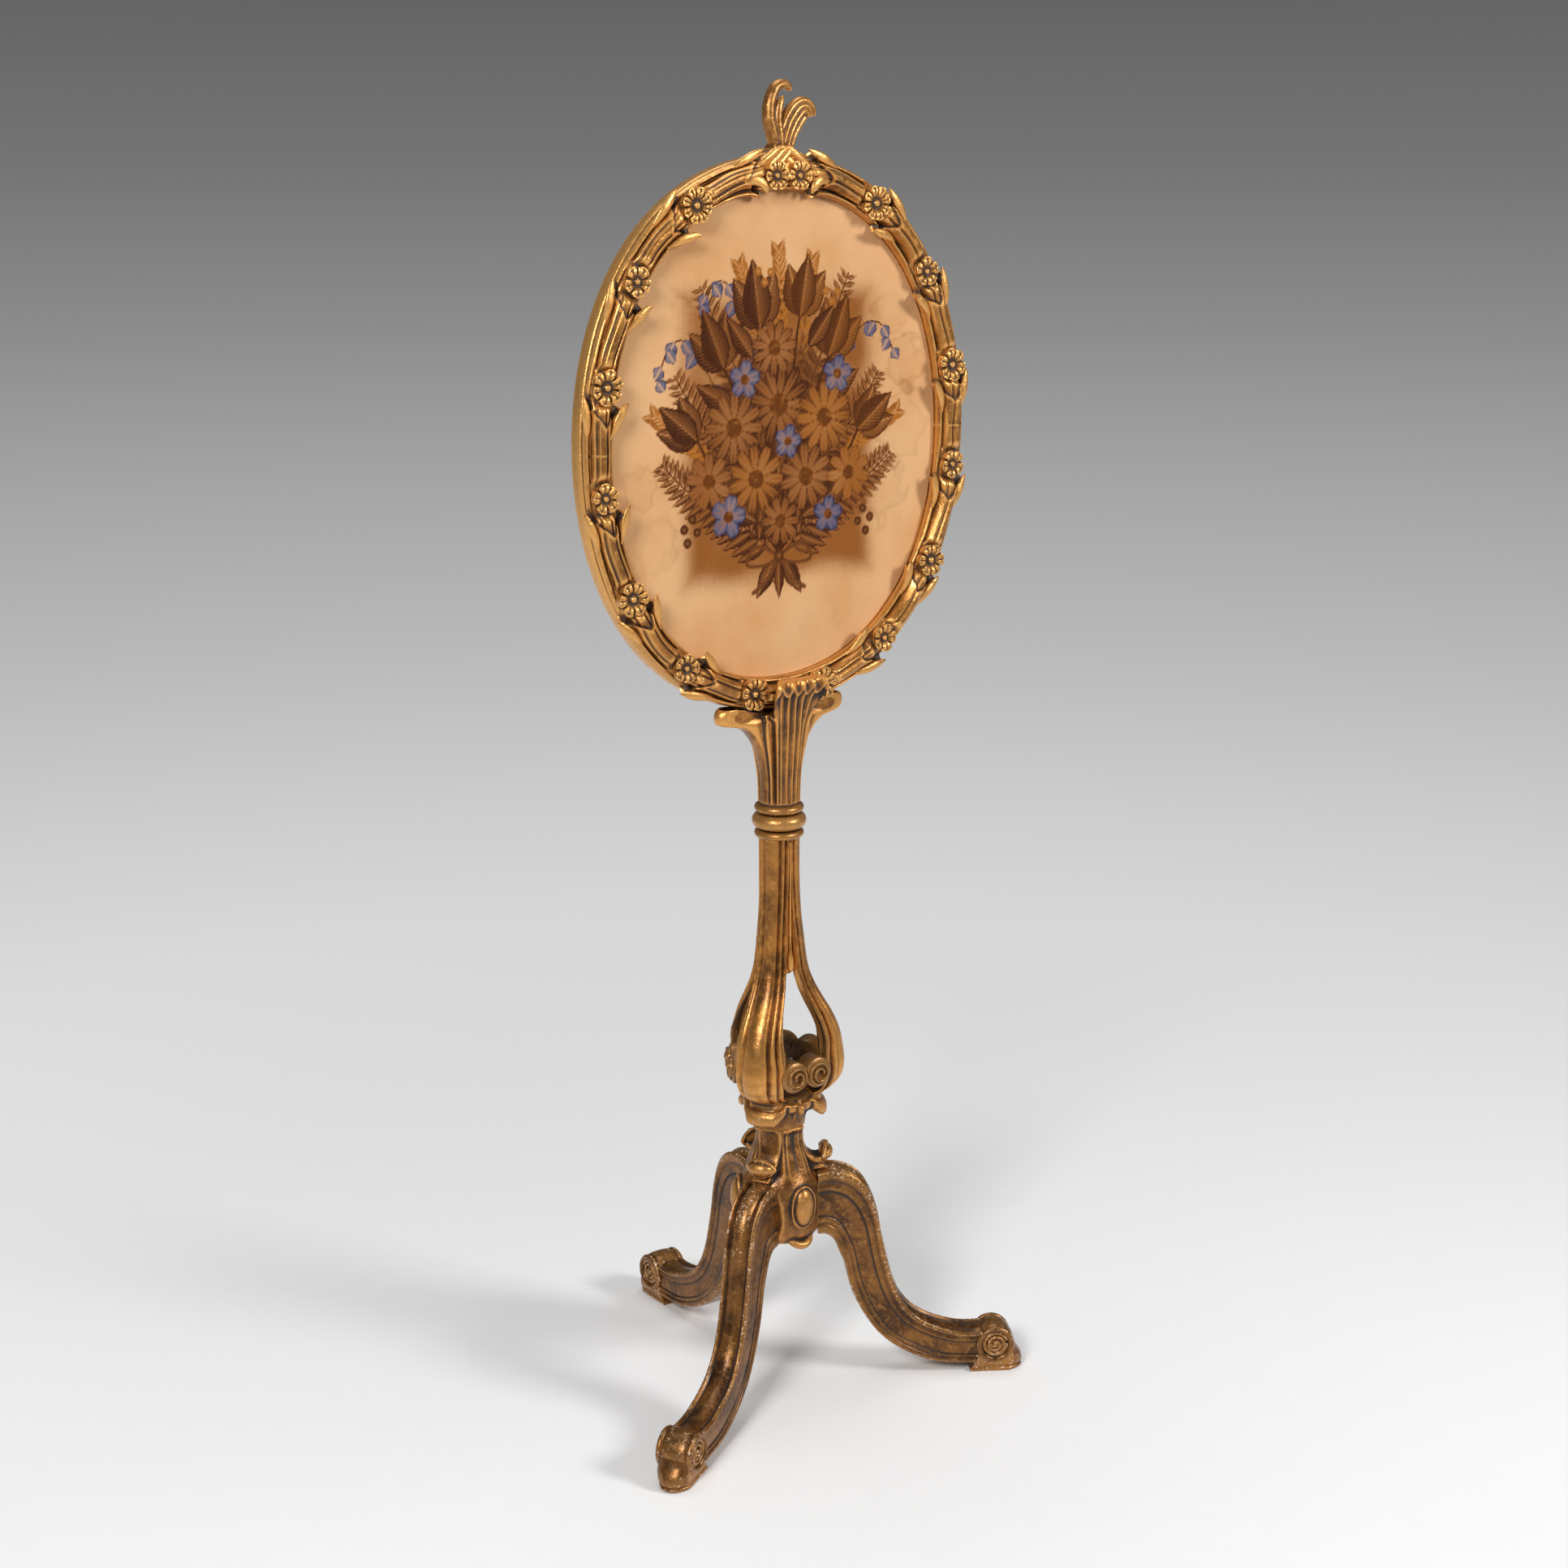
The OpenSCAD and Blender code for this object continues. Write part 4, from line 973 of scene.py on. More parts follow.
# Leaf tips beside a flower: distance below the mark, place across, rise; then half width and half depth
INNER_TIP = [[24, -12.5, 10], [14, -15, 13], [4, -18, 15], [-3, -21, 16], [-9, -23, 16.5],
             [-12.5, -25, 17.2], [-14.5, -26.8, 18.4]]
OUTER_TIP = [[24, 13, 8], [14, 15, 11], [4, 17.5, 12.5], [-4, 19.6, 12.6], [-10, 21.4, 12.4],
             [-14.5, 22.9, 12.2], [-17.5, 24.2, 12.6]]
TIP_WIDE = [1.0, 3.2, 4.4, 4.4, 3.4, 2.0, 0.5]
TIP_DEEP = [0.8, 2.0, 2.4, 2.2, 1.8, 1.3, 0.5]


def lip_line(p):
    """How far below its mark the lip of a calyx lies: a notch between two leaf tips."""
    return 12 - 24 * np.abs((p + 1.5) / HALF_W) ** 1.3


def moulding_face(side, p):
    """Rise and outward shift of the face, for side angles (rows) and places across it (columns)."""
    arc = arc_at(side)[:, None]
    p = p[None, :]
    wander = 0.9 * np.sin(arc / 23) + 0.5 * np.sin(arc / 9.5 + 1)
    rise = along(REEDS, np.clip(p - wander * (np.abs(p) < 10.5), -HALF_W, HALF_W))
    land = np.zeros_like(rise)
    for mark in FLOWER_ARCS:
        land = np.maximum(land, 1 - step(np.abs(arc - mark), 13, 23))
    land = np.maximum(land, 1 - step(arc, 24, 36))
    rise = rise * (1 - land) + along(FLOWER_SEAT, p + 0 * arc) * land
    shift = np.zeros_like(rise)
    body = 1 - step(np.abs(p), 14.5, HALF_W)
    for mark in CALYX_ARCS:
        below = arc - mark - lip_line(p)
        sheath = step(below, -0.8, 0.8) * np.exp(-np.maximum(below, 0) / 20) * (below < 90)
        under = (1 - step(below, -0.8, 0.8)) * np.exp(np.minimum(below, 0) / 8) * (below > -40)
        rise = rise + (3.0 * sheath - 1.8 * under * (1 - 0.6 * bump(p, -1.5, 6))) * (0.3 + 0.7 * body)
        flare = np.exp(-np.maximum(below, 0) / 10) * step(below, -3, 0.5) * (below < 90)
        shift = shift + flare * np.where(p > 0, 5.0, -7.0) * step(np.abs(p), 7, HALF_W)
        rise = rise + 3.0 * flare * step(np.abs(p), 11, HALF_W)
    return rise, shift


def moulding(angles):
    """Solid of the moulding over a run of angles."""
    side = np.abs((angles + 180) % 360 - 180)
    p = np.linspace(HALF_W, -HALF_W, 100)
    rise, shift = moulding_face(side, p)
    rows = (len(angles), 1)
    outer_p, outer_rise = np.array(OUTER_SIDE).T
    inner_p, inner_rise = np.array(INNER_SIDE).T
    across = np.hstack([np.tile(outer_p, rows), p + shift, np.tile(inner_p, rows)])
    front = np.hstack([np.tile(outer_rise, rows), rise, np.tile(inner_rise, rows)])
    x, z = oval_point(angles[:, None], across)
    return skin(xyz(x, -front, z))


def leaf_tip(side_sign, mark, rows):
    """Broad leaf lip that grows out of the moulding below a flower and curls away at its tip."""
    below, across, rise = np.array(rows).T
    x, z = oval_point(side_sign * angle_at(mark + below), across)
    return sweep(xyz(x, -rise, z), TIP_WIDE, TIP_DEEP, (0, -1, 0), count=22, rows=46, power=0.85)


def frame_half(name, node, first, last, marks, extra=()):
    """Half of the moulding from the first to the last angle, with leaf tips at its marks."""
    rows = int(MIDDLE_ARC * 2 / ROW_STEP)
    parts = [moulding(np.linspace(first, last, rows))]
    for mark in marks:
        for s in (-1, 1):
            if mark > CREST_CALYX:
                parts.append(leaf_tip(s, mark, INNER_TIP))
            parts.append(leaf_tip(s, mark, OUTER_TIP))
    parts += list(extra)
    obj = relief(piece(name, parts))
    finish_piece(obj, "screen", gilt_bright, node)


# Foot of the crest
CREST_FOOT = crest_z - 23
# Crossing stems: side they rise from, front, shifts of the single reeds, half width of a reed
CREST_STEMS = [[1, -8, (-5.5, 4.5), 4.4], [-1, -10, (-6.4, 0, 6.4), 4.0]]
# One reed: place aside, back from the front, height, share of the half width, half depth
CREST_REED = [[38, 5, -7, 0.7, 3], [27, 1.5, 3, 1, 4.2], [13, 0, 13, 1, 4.2], [-2, 1.5, 25, 1, 4]]
# Bracket beside the stems: place aside, depth, height, half width, half depth
CREST_BRACKET = [[64, -11, -17, 1, 1], [51, -15, -9.5, 3.6, 2.4], [42, -17.5, -7.5, 4.8, 2.8],
                 [35, -18.5, -10.5, 4.8, 2.8], [30.5, -18.5, -16, 3.6, 2.2], [29, -17, -20.5, 1.2, 1]]
# Gable behind them: half outline, then depth and share of the width of its layers
GABLE = [[0, 2], [30, 1], [47, 3], [42, 10], [30, 17], [20, 20], [14, 23]]
GABLE_LAYERS = [[-8, 0.94], [-7, 1.0], [9.5, 1.0], [10.8, 0.95]]


def crest():
    """Gable of crossing stems above the two top flowers, which carries the finial."""
    parts = []
    reed = np.array(CREST_REED)
    for s, front, shifts, w in CREST_STEMS:
        for shift in shifts:
            path = reed[:, :3] * [s, 1, 1] + [0, front, CREST_FOOT]
            path += [s * 0.6 * shift, 0, 0.8 * shift]
            wide, deep = w * reed[:, 3], reed[:, 4]
            parts.append(sweep(path, wide, deep, (0, -1, 0), count=26, rows=40, power=0.8))
    bracket = np.array(CREST_BRACKET)
    for s in (-1, 1):
        path = bracket[:, :3] * [s, 1, 1] + [0, 0, CREST_FOOT]
        wide, deep = bracket[:, 3], bracket[:, 4]
        parts.append(sweep(path, wide, deep, (0, -1, 0), count=22, rows=50, power=0.85))
    x, z = np.array(GABLE + [[-x, z] for x, z in GABLE[:0:-1]], float).T
    parts.append(skin([xyz(x * share, y, CREST_FOOT + z) for y, share in GABLE_LAYERS]))
    return [(np.minimum(v, [np.inf, np.inf, crest_z - 0.05]), f) for v, f in parts]


PETALS = (8, 5, 6, 5, 6, 5, 6)
SMALL_FLOWER = 0.86
CREST_FLOWER_SIZE = 0.82
CREST_FLOWER_P = -2.5
# Shares of the radius of a flower, and of the steps from its rim to its middle
BUTTON = 0.23
FLOWER_EDGE = 0.12


def flower(d, petals, rows=26, per_petal=18):
    """Rosette with creased cupped petals and a button, lying on its back with its face towards +Z."""
    a = circle(petals * per_petal)
    s = np.linspace(0, 1, rows)[:, None]
    wave = np.abs(np.cos(petals * a / 2))
    reach = 1 - 0.2 * (1 - wave**0.6)
    r = d / 2 * np.where(s < FLOWER_EDGE, 0.94 + 0.5 * s, 1 - (s - FLOWER_EDGE) / (1 - FLOWER_EDGE))
    r = r * (1 + (reach - 1) * step(1 - s, 0.2, 0.75))
    share = r / (d / 2)
    cup = 0.10 + 0.12 * bump(share, 0.68, 0.55) + 0.05 * step(share, 0.8, 1.0)
    seam = -0.1 * (1 - step(wave, 0.02, 0.5)) * bump(share, 0.72, 0.5)
    crease = -0.035 * bump(np.abs(np.sin(petals * a / 2)), 0, 0.28) * bump(share, 0.7, 0.4)
    button = 0.14 * np.sqrt(np.clip(1 - (share / BUTTON) ** 2, 0, 1))
    height = np.where(share < BUTTON, 0.10 + button, cup + seam + crease) * step(s, 0, 0.1)
    return skin(polar(r, a, d * height))


def flower_at(t, d, petals, p=0.0):
    """Flower on its seat at t degrees of the oval, p outside the middle, with its face to the front."""
    verts, faces = flower(d, petals)
    x, z = oval_point(float(t), p)
    c, s = math.cos(math.radians(t)), math.sin(math.radians(t))
    across, up, out = verts.T
    return xyz(x + across * c + up * s, -LAND - out, z - across * s + up * c), faces


def flowers():
    """Flowers of the moulding and the pair under the finial."""
    ring, pair = [], []
    for k, t in enumerate(FLOWERS):
        d = FLOWER_D if k % 2 == 0 else FLOWER_D * SMALL_FLOWER
        ring += [flower_at(s * t, d, PETALS[k]) for s in (-1, 1)]
    for s in (-1, 1):
        pair.append(flower_at(s * CREST_FLOWER, FLOWER_D * CREST_FLOWER_SIZE, 6, CREST_FLOWER_P))
    for node, parts in (("frame_flowers", ring), ("crest_flowers", pair)):
        obj = relief(piece(node + "_carved", parts))
        finish_piece(obj, "screen", gilt_bright, node, sharp=70)


# Stems of the finial: place aside, share of the height, half width, half depth
FINIAL_LEFT = [[-3, 0.0, 6, 7], [-8, 0.2, 6.4, 7.5], [-12, 0.42, 6.2, 7.5], [-11.5, 0.64, 6, 7],
               [-5, 0.85, 6, 6.4], [4, 0.925, 5.4, 5.4], [12, 0.9, 4.4, 4.2], [15.5, 0.84, 2.6, 2.4]]
FINIAL_FOLD = [[0, 0.0, 4, 5], [-2, 0.2, 4.4, 5], [-4, 0.4, 4.6, 4.6], [-2.5, 0.58, 4.4, 4],
               [0.5, 0.7, 3.4, 3], [2.5, 0.76, 1.2, 1.2]]
FINIAL_RIGHT = [[4, 0.0, 9, 7], [8, 0.2, 10.5, 7], [14, 0.37, 11.5, 6.6], [21, 0.5, 11.5, 6.4],
                [27, 0.57, 10.5, 6], [32.5, 0.575, 9.5, 5.5], [36.5, 0.53, 8.5, 5], [38, 0.46, 7, 4]]
FINIAL_REEDS = (-0.78, -0.26, 0.26, 0.78)
FINIAL_BASE = [[-13, -9], [13, -9], [13, 8.6], [-13, 8.6]]


def finial_stem(rows, y):
    """Path, half widths and half depths of a stem of the finial, at depth y."""
    aside, share, wide, deep = np.array(rows).T
    return xyz(aside, y, crest_z + share * (finial_top - crest_z)), wide, deep


def finial():
    """Two curled stems: a folded one on the left, and a broad reeded ribbon that curls to the right."""
    parts = [sweep(*finial_stem(FINIAL_LEFT, 1), (0, 1, 0), count=30)]
    parts.append(sweep(*finial_stem(FINIAL_FOLD, -3.5), (0, 1, 0)))
    path, wide, deep = finial_stem(FINIAL_RIGHT, -1)
    centre = smooth(path, 40)
    d = np.gradient(centre, axis=0)
    across = xyz(d[:, 2], 0.0, -d[:, 0])
    across /= np.linalg.norm(across, axis=1)[:, None]
    wide = smooth(wide[:, None], 40)
    for k in FINIAL_REEDS:
        parts.append(sweep(centre + across * wide * k, wide[::5, 0] * 0.4, deep - 1.2 * abs(k), (0, 1, 0)))
    x, y = np.array(FINIAL_BASE).T
    parts.append(skin([xyz(x * k, y * k, crest_z + up) for up, k in ((0, 1.0), (3, 0.9), (6, 0.6))]))
    obj = fused(piece("finial_carved", parts), voxel=0.5, rounds=9)
    for v in obj.data.vertices:
        v.co.z = min(max(v.co.z, crest_z * MM), finial_top * MM)
    finish_piece(relief(obj, rounds=24, broad=70), "screen", gilt_bright, "finial", sharp=80)


# Painted cloth

# Two leafy motifs of the painting, each of paired leaflets along a stalk
FERN = dict(count=18, size=44, start=0.12, turn=58, slim=0.17, taper=0.75, dark=0.66, ochre=0.0, stalk=0.9)
EAR = dict(count=13, size=18, start=0.45, turn=32, slim=0.24, taper=0.0, dark=0.55, ochre=0.9, stalk=0.8)
# Rate and spread that make the tone of the petals uneven
UNEVEN_RATE = 12.9898
UNEVEN_SPREAD = 43.7


def seeded_noise(x, z, scale, seed):
    """Smooth noise in -1..1 from a sum of seeded plane waves."""
    rng = np.random.default_rng(seed)
    total = np.zeros_like(x)
    for _ in range(18):
        a = rng.uniform(0, FULL_TURN)
        f = FULL_TURN / (scale * rng.uniform(0.6, 1.7))
        total += np.sin(f * (x * math.cos(a) + z * math.sin(a)) + rng.uniform(0, FULL_TURN))
    return total / 6.0


class Painting:
    """Fields of paint over the cloth: sepia, blue, ochre and scorch, each from 0 to 1."""

    def __init__(self, x, z):
        self.x, self.z = x, z
        self.sepia, self.blue, self.ochre, self.scorch = (np.zeros_like(x) for _ in range(4))
        self.rough = seeded_noise(x, z, 9, 5)

    def lay(self, mask, sepia, blue=0.0, ochre=0.0):
        """Covers what lies under a mask with paint of the given strengths."""
        mask = np.clip(mask, 0, 1)
        for field, value in ((self.sepia, sepia), (self.blue, blue), (self.ochre, ochre)):
            field += (value - field) * mask

    def local(self, x0, z0, angle):
        """Coordinates along and across a direction that starts at a point."""
        a = math.radians(angle)
        dx, dz = self.x - x0, self.z - z0
        return dx * math.cos(a) + dz * math.sin(a), dz * math.cos(a) - dx * math.sin(a)

    def leaf(self, x0, z0, angle, length, width, dark, blue=0.0, ochre=0.0):
        """Pointed leaf with a darker edge and a pale midrib."""
        u, v = self.local(x0, z0, angle)
        s = np.clip(u / length, 0, 1)
        half = width * np.sin(math.pi * s**0.8) * (1 - 0.25 * s) + 0.01
        inside = half - np.abs(v) + 0.5 * self.rough * (half > 1)
        mask = step(inside, -0.6, 0.8) * (u > 0) * (u < length)
        veins = 0.1 * np.cos((u - 1.3 * np.abs(v)) * 1.3) * (width > 10)
        tone = dark * (0.58 + 0.3 * np.clip(np.abs(v) / half, 0, 1) + 0.2 * (v > 0))
        tone += veins - 0.24 * bump(v, 0, 1.3) + 0.25 * bump(inside, 0.5, 1.6) * (width > 6)
        self.lay(mask, tone, blue, ochre)

    def stalk(self, points, width, dark=0.72):
        """Thin curved stalk."""
        path = smooth(points, 60)
        best = np.full_like(self.x, np.inf)
        for (xa, za), (xb, zb) in zip(path[:-1], path[1:]):
            dx, dz = xb - xa, zb - za
            s = np.clip(((self.x - xa) * dx + (self.z - za) * dz) / (dx * dx + dz * dz), 0, 1)
            best = np.minimum(best, np.hypot(self.x - xa - s * dx, self.z - za - s * dz))
        self.lay(1 - step(best, width * 0.5, width * 1.3), dark)

    def daisy(self, x0, z0, radius, petals, turn, dark, blue=0.0, ochre=0.0):
        """Open flower with long petals and a stippled centre."""
        dx, dz = self.x - x0, self.z - z0
        r = np.hypot(dx, dz)
        a = np.arctan2(dz, dx) + math.radians(turn)
        wave = np.abs(np.cos(petals * a / 2))
        edge = radius * (0.62 + 0.38 * wave**0.7)
        mask = step(edge - r + 0.5 * self.rough, -0.6, 0.8)
        petal = np.floor(petals * a / FULL_TURN + 0.5) % petals
        uneven = 0.82 + 0.36 * (np.sin(petal * UNEVEN_RATE + x0) * UNEVEN_SPREAD % 1)
        veins = 0.09 * np.cos(petals * 3 * a) * step(r, 5, 12)
        tone = dark * uneven * (0.5 + 0.5 * np.clip(r / edge, 0, 1) ** 2) + veins
        tone += 0.35 * (1 - step(wave, 0.03, 0.3)) * step(r, 3, 9) + 0.25 * bump(edge - r, 0.6, 1.8)
        self.lay(mask, tone, blue, ochre)
        heart = 1 - step(r, radius * 0.22, radius * 0.3)
        self.lay(heart, 0.72 + 0.2 * self.rough, ochre=0.6)

    def tulip(self, x0, z0, angle, size, dark, ochre):
        """Closed tulip of three overlapping petals."""
        for turn, k in ((26, 0.95), (-26, 0.95), (0, 1.08)):
            tone = dark + 0.12 * (turn == 0)
            self.leaf(x0, z0, angle + turn, size * k, size * 0.3, tone, ochre=ochre)

    def bells(self, points, count, size):
        """Arching spray of blue bells along a stalk."""
        self.stalk(points, 0.8)
        for k, (x0, z0) in enumerate(curve(points, np.linspace(0.3, 1, count))):
            angle = -90 + (35 if k % 2 else -35)
            long = size * (1.15 - 0.5 * k / count)
            self.leaf(x0, z0, angle, long, size * 0.42, dark=0.42, blue=0.85)

    def frond(self, points, count, size, start, turn, slim, taper, dark, ochre, stalk):
        """Pairs of leaflets along a stalk, such as a fern, or an ear of ripe grain with its seeds."""
        self.stalk(points, stalk)
        path = curve(points, np.linspace(start, 1, count))
        for k in range(count - 1):
            dx, dz = path[k + 1] - path[k]
            angle = math.degrees(math.atan2(dz, dx))
            long = size * (1 - taper * (k / count) ** 1.3)
            for aside in (-turn, turn):
                self.leaf(*path[k], angle + aside, long, long * slim, dark, ochre=ochre)

    def berries(self, points, radius, dark, ochre=0.0):
        """Round berries, lighter in the middle."""
        for x0, z0 in points:
            r = np.hypot(self.x - x0, self.z - z0)
            tone = dark - 0.3 * (1 - step(r, 0, radius * 0.6))
            self.lay(1 - step(r, radius - 0.6, radius + 0.5), tone, ochre=ochre)

    def shade(self, x0, z0, half_x, half_z, dark):
        """Soft dark ground behind the flowers."""
        r = np.hypot((self.x - x0) / half_x, (self.z - z0) / half_z) + 0.08 * self.rough
        self.lay(0.8 * (1 - step(r, 0.65, 1.05)), dark)

    def scorched(self, centre, half, soft):
        """Browned soft rectangle with a darker rim."""
        wobble = 4 * seeded_noise(self.x, self.z, 110, 11)
        dx = np.abs(self.x - centre[0]) - half[0] + wobble
        dz = np.abs(self.z - centre[1]) - half[1] + wobble
        out = np.hypot(np.maximum(dx, 0), np.maximum(dz, 0)) + np.minimum(np.maximum(dx, dz), 0)
        patch = 1 - step(out, -soft, soft)
        low = step(-self.z - 0.4 * self.x * (self.x < 0), 40, 150) + 0.8 * step(self.x, 60, 125)
        rim = np.exp(-(((out + soft) / soft) ** 2)) * np.clip(0.35 + low, 0, 1)
        mottled = 0.66 + 0.12 * seeded_noise(self.x, self.z, 60, 12)
        self.scorch = np.maximum(self.scorch, np.clip(patch * (mottled + 0.32 * rim), 0, 1))

    def stain(self, x0, z0, size, strength, seed):
        """Tide mark: a pale blot with a darker wavy rim."""
        r = np.hypot(self.x - x0, self.z - z0)
        r = r + size * 0.33 * seeded_noise(self.x, self.z, size * 0.9, seed)
        blot = 0.55 * (1 - step(r, size * 0.8, size)) + np.exp(-(((r - size) / 4.5) ** 2))
        self.scorch = np.clip(self.scorch + strength * blot, 0, 1)


# Layout of the painting about the middle of the oval; x to the right, z up
TIE = (0, -122)
# Place, size, strength and seed
STAINS = ((172, 70, 26, 0.3, 21), (168, 5, 34, 0.24, 22), (-176, -40, 22, 0.26, 23),
          (-158, -96, 26, 0.2, 24), (140, -64, 30, 0.26, 25), (-120, 168, 24, 0.14, 26),
          (60, -214, 30, 0.16, 27), (150, 120, 22, 0.2, 28))
# Paths that start at the tie
FERNS = (((-46, -40), (-100, 24), (-132, 70)), ((46, -40), (104, 20), (134, 62)),
         ((-26, 10), (-70, 100), (-100, 156)), ((26, 10), (66, 106), (92, 164)),
         ((-58, -80), (-116, -46), (-150, -16)), ((58, -80), (116, -50), (152, -24)))
EARS = (((-16, 20), (-32, 126), (-50, 176)), ((16, 20), (36, 128), (44, 180)), ((0, 40), (3, 138), (0, 190)),
        ((-68, -34), (-124, 6), (-158, 32)), ((68, -34), (128, 0), (160, 18)))
BELLS = (((-46, -10), (-106, 92), (-136, 100), (-152, 66)), ((46, -10), (100, 98), (134, 112), (154, 84)),
         ((-20, 16), (-56, 140), (-78, 160), (-98, 138)))
# Place, direction and size
TULIPS = ((-70, 74, 114, 62), (66, 80, 68, 64), (-24, 112, 98, 66), (28, 122, 80, 60), (-104, 4, 142, 56),
          (106, 2, 38, 56))
# Place, direction, length and half width
LEAVES = ((-10, -64, 120, 112, 18), (12, -64, 60, 116, 18), (-30, -84, 152, 100, 17), (30, -84, 28, 100, 17),
          (0, -40, 92, 100, 17), (-54, 30, 150, 62, 15), (56, 34, 32, 62, 15), (-34, 84, 128, 54, 13),
          (40, 92, 50, 54, 13), (-6, -126, 238, 46, 11), (6, -126, 302, 46, 11), (0, -128, 270, 40, 8))
# Place, radius, petals, strength of the sepia and of the ochre
DAISIES = ((0, 34, 44, 13, 0.62, 0.0), (-58, 14, 38, 12, 0.5, 0.0), (60, 18, 38, 12, 0.52, 0.4),
           (-30, -40, 37, 11, 0.56, 0.35), (36, -42, 36, 11, 0.48, 0.0), (-6, 92, 30, 11, 0.5, 0.0),
           (-90, -38, 30, 9, 0.4, 0.0), (94, -42, 30, 9, 0.42, 0.35), (2, -86, 27, 10, 0.52, 0.0))
# Place and radius
BLUE_FLOWERS = ((-66, -76, 23), (78, 62, 20), (-44, 62, 20), (12, -4, 18), (66, -84, 20))
DARK_BERRIES = ((-112, -74), (-122, -84), (-106, -88), (-118, -98),
                (114, -82), (124, -92), (107, -95), (118, -106))
RIPE_BERRIES = ((-18, 158), (-10, 168), (-26, 169), (70, 136), (78, 146), (62, 147))


def paint_sheaf(p):
    """Sheaf of meadow flowers, ferns and ears that fans out from a tie."""
    p.scorched(centre=(0, 2), half=(124, 148), soft=24)
    for blot in STAINS:
        p.stain(*blot)
    for paths, kind in ((FERNS, FERN), (EARS, EAR)):
        for path in paths:
            p.frond([TIE, *path], **kind)
    for path in BELLS:
        p.bells([TIE, *path], count=8, size=20)
    p.shade(0, 10, half_x=104, half_z=112, dark=0.62)
    for x, z, angle, size in TULIPS:
        p.stalk([TIE, (x * 0.3, -30), (x * 0.8, z - 26), (x, z)], width=1.6)
        p.tulip(x, z, angle, size, dark=0.66, ochre=0.25 if x > 0 else 0.0)
    for leaf in LEAVES:
        p.leaf(*leaf, dark=0.72)
    for x, z, radius, petals, dark, ochre in DAISIES:
        p.daisy(x, z, radius, petals, turn=x, dark=dark, ochre=ochre)
    for x, z, radius in BLUE_FLOWERS:
        p.daisy(x, z, radius, petals=5, turn=z, dark=0.46, blue=0.85)
    p.berries(DARK_BERRIES, radius=5.2, dark=0.66)
    p.berries(RIPE_BERRIES, radius=4.6, dark=0.46, ochre=0.85)
    for s in (-1, 1):
        p.stalk([TIE, (s * 30, -110), (s * 42, -128), (s * 16, -130), TIE], width=2.6, dark=0.55)
        p.stalk([TIE, (s * 16, -146), (s * 34, -158)], width=2.6, dark=0.55)
    p.berries([TIE], radius=7, dark=0.62)


def cloth_finish():
    """Aged silk: warm cream cloth with a fine weave, browned where it is scorched, and faded paint."""
    n = material_nodes("painted_cloth")
    paint = n.attribute("paint")
    sepia, blue, ochre = n.new("SeparateColor", Color=paint["Color"]).outputs
    warp = n.noise(900, 2, 0.5, stretch=(1.0, 1.0, 0.05))
    weft = n.noise(900, 2, 0.5, stretch=(0.05, 1.0, 1.0))
    weave = n.math("ADD", warp, weft)
    age = n.noise(9, 4, 0.55)
    cloth = n.mix(n.ramp(age, 0.35, 0.7), (0.76, 0.44, 0.215), (0.67, 0.345, 0.145))
    uneven = n.math("ADD", paint["Alpha"], n.math("MULTIPLY", n.math("SUBTRACT", weave, 1.0), 0.22))
    cloth = n.mix(n.ramp(uneven, 0.0, 1.05), cloth, (0.29, 0.098, 0.02))
    wash = n.mix(blue, (0.27, 0.09, 0.022), (0.09, 0.12, 0.215))
    wash = n.mix(ochre, wash, (0.46, 0.16, 0.02))
    ink = n.mix(blue, (0.052, 0.014, 0.005), (0.018, 0.026, 0.075))
    ink = n.mix(n.math("MULTIPLY", ochre, 0.8), ink, (0.2, 0.055, 0.008))
    faded = n.ramp(weave, 0.75, 1.3, 1.0, 0.86)
    thin = n.math("MULTIPLY", n.ramp(sepia, 0.0, 0.42), faded)
    thick = n.math("MULTIPLY", n.ramp(sepia, 0.3, 0.74), faded)
    n.set(Base_Color=n.mix(thick, n.mix(thin, cloth, wash), ink), Roughness=0.8, Specular_IOR_Level=0.08)
    n.bump(weave, 0.25, 0.25)
    return n.owner


CLOTH_T = 0.75
CLOTH_CLEAR = 0.02
BACK_PAINT = [0, 0, 0, 0.2]


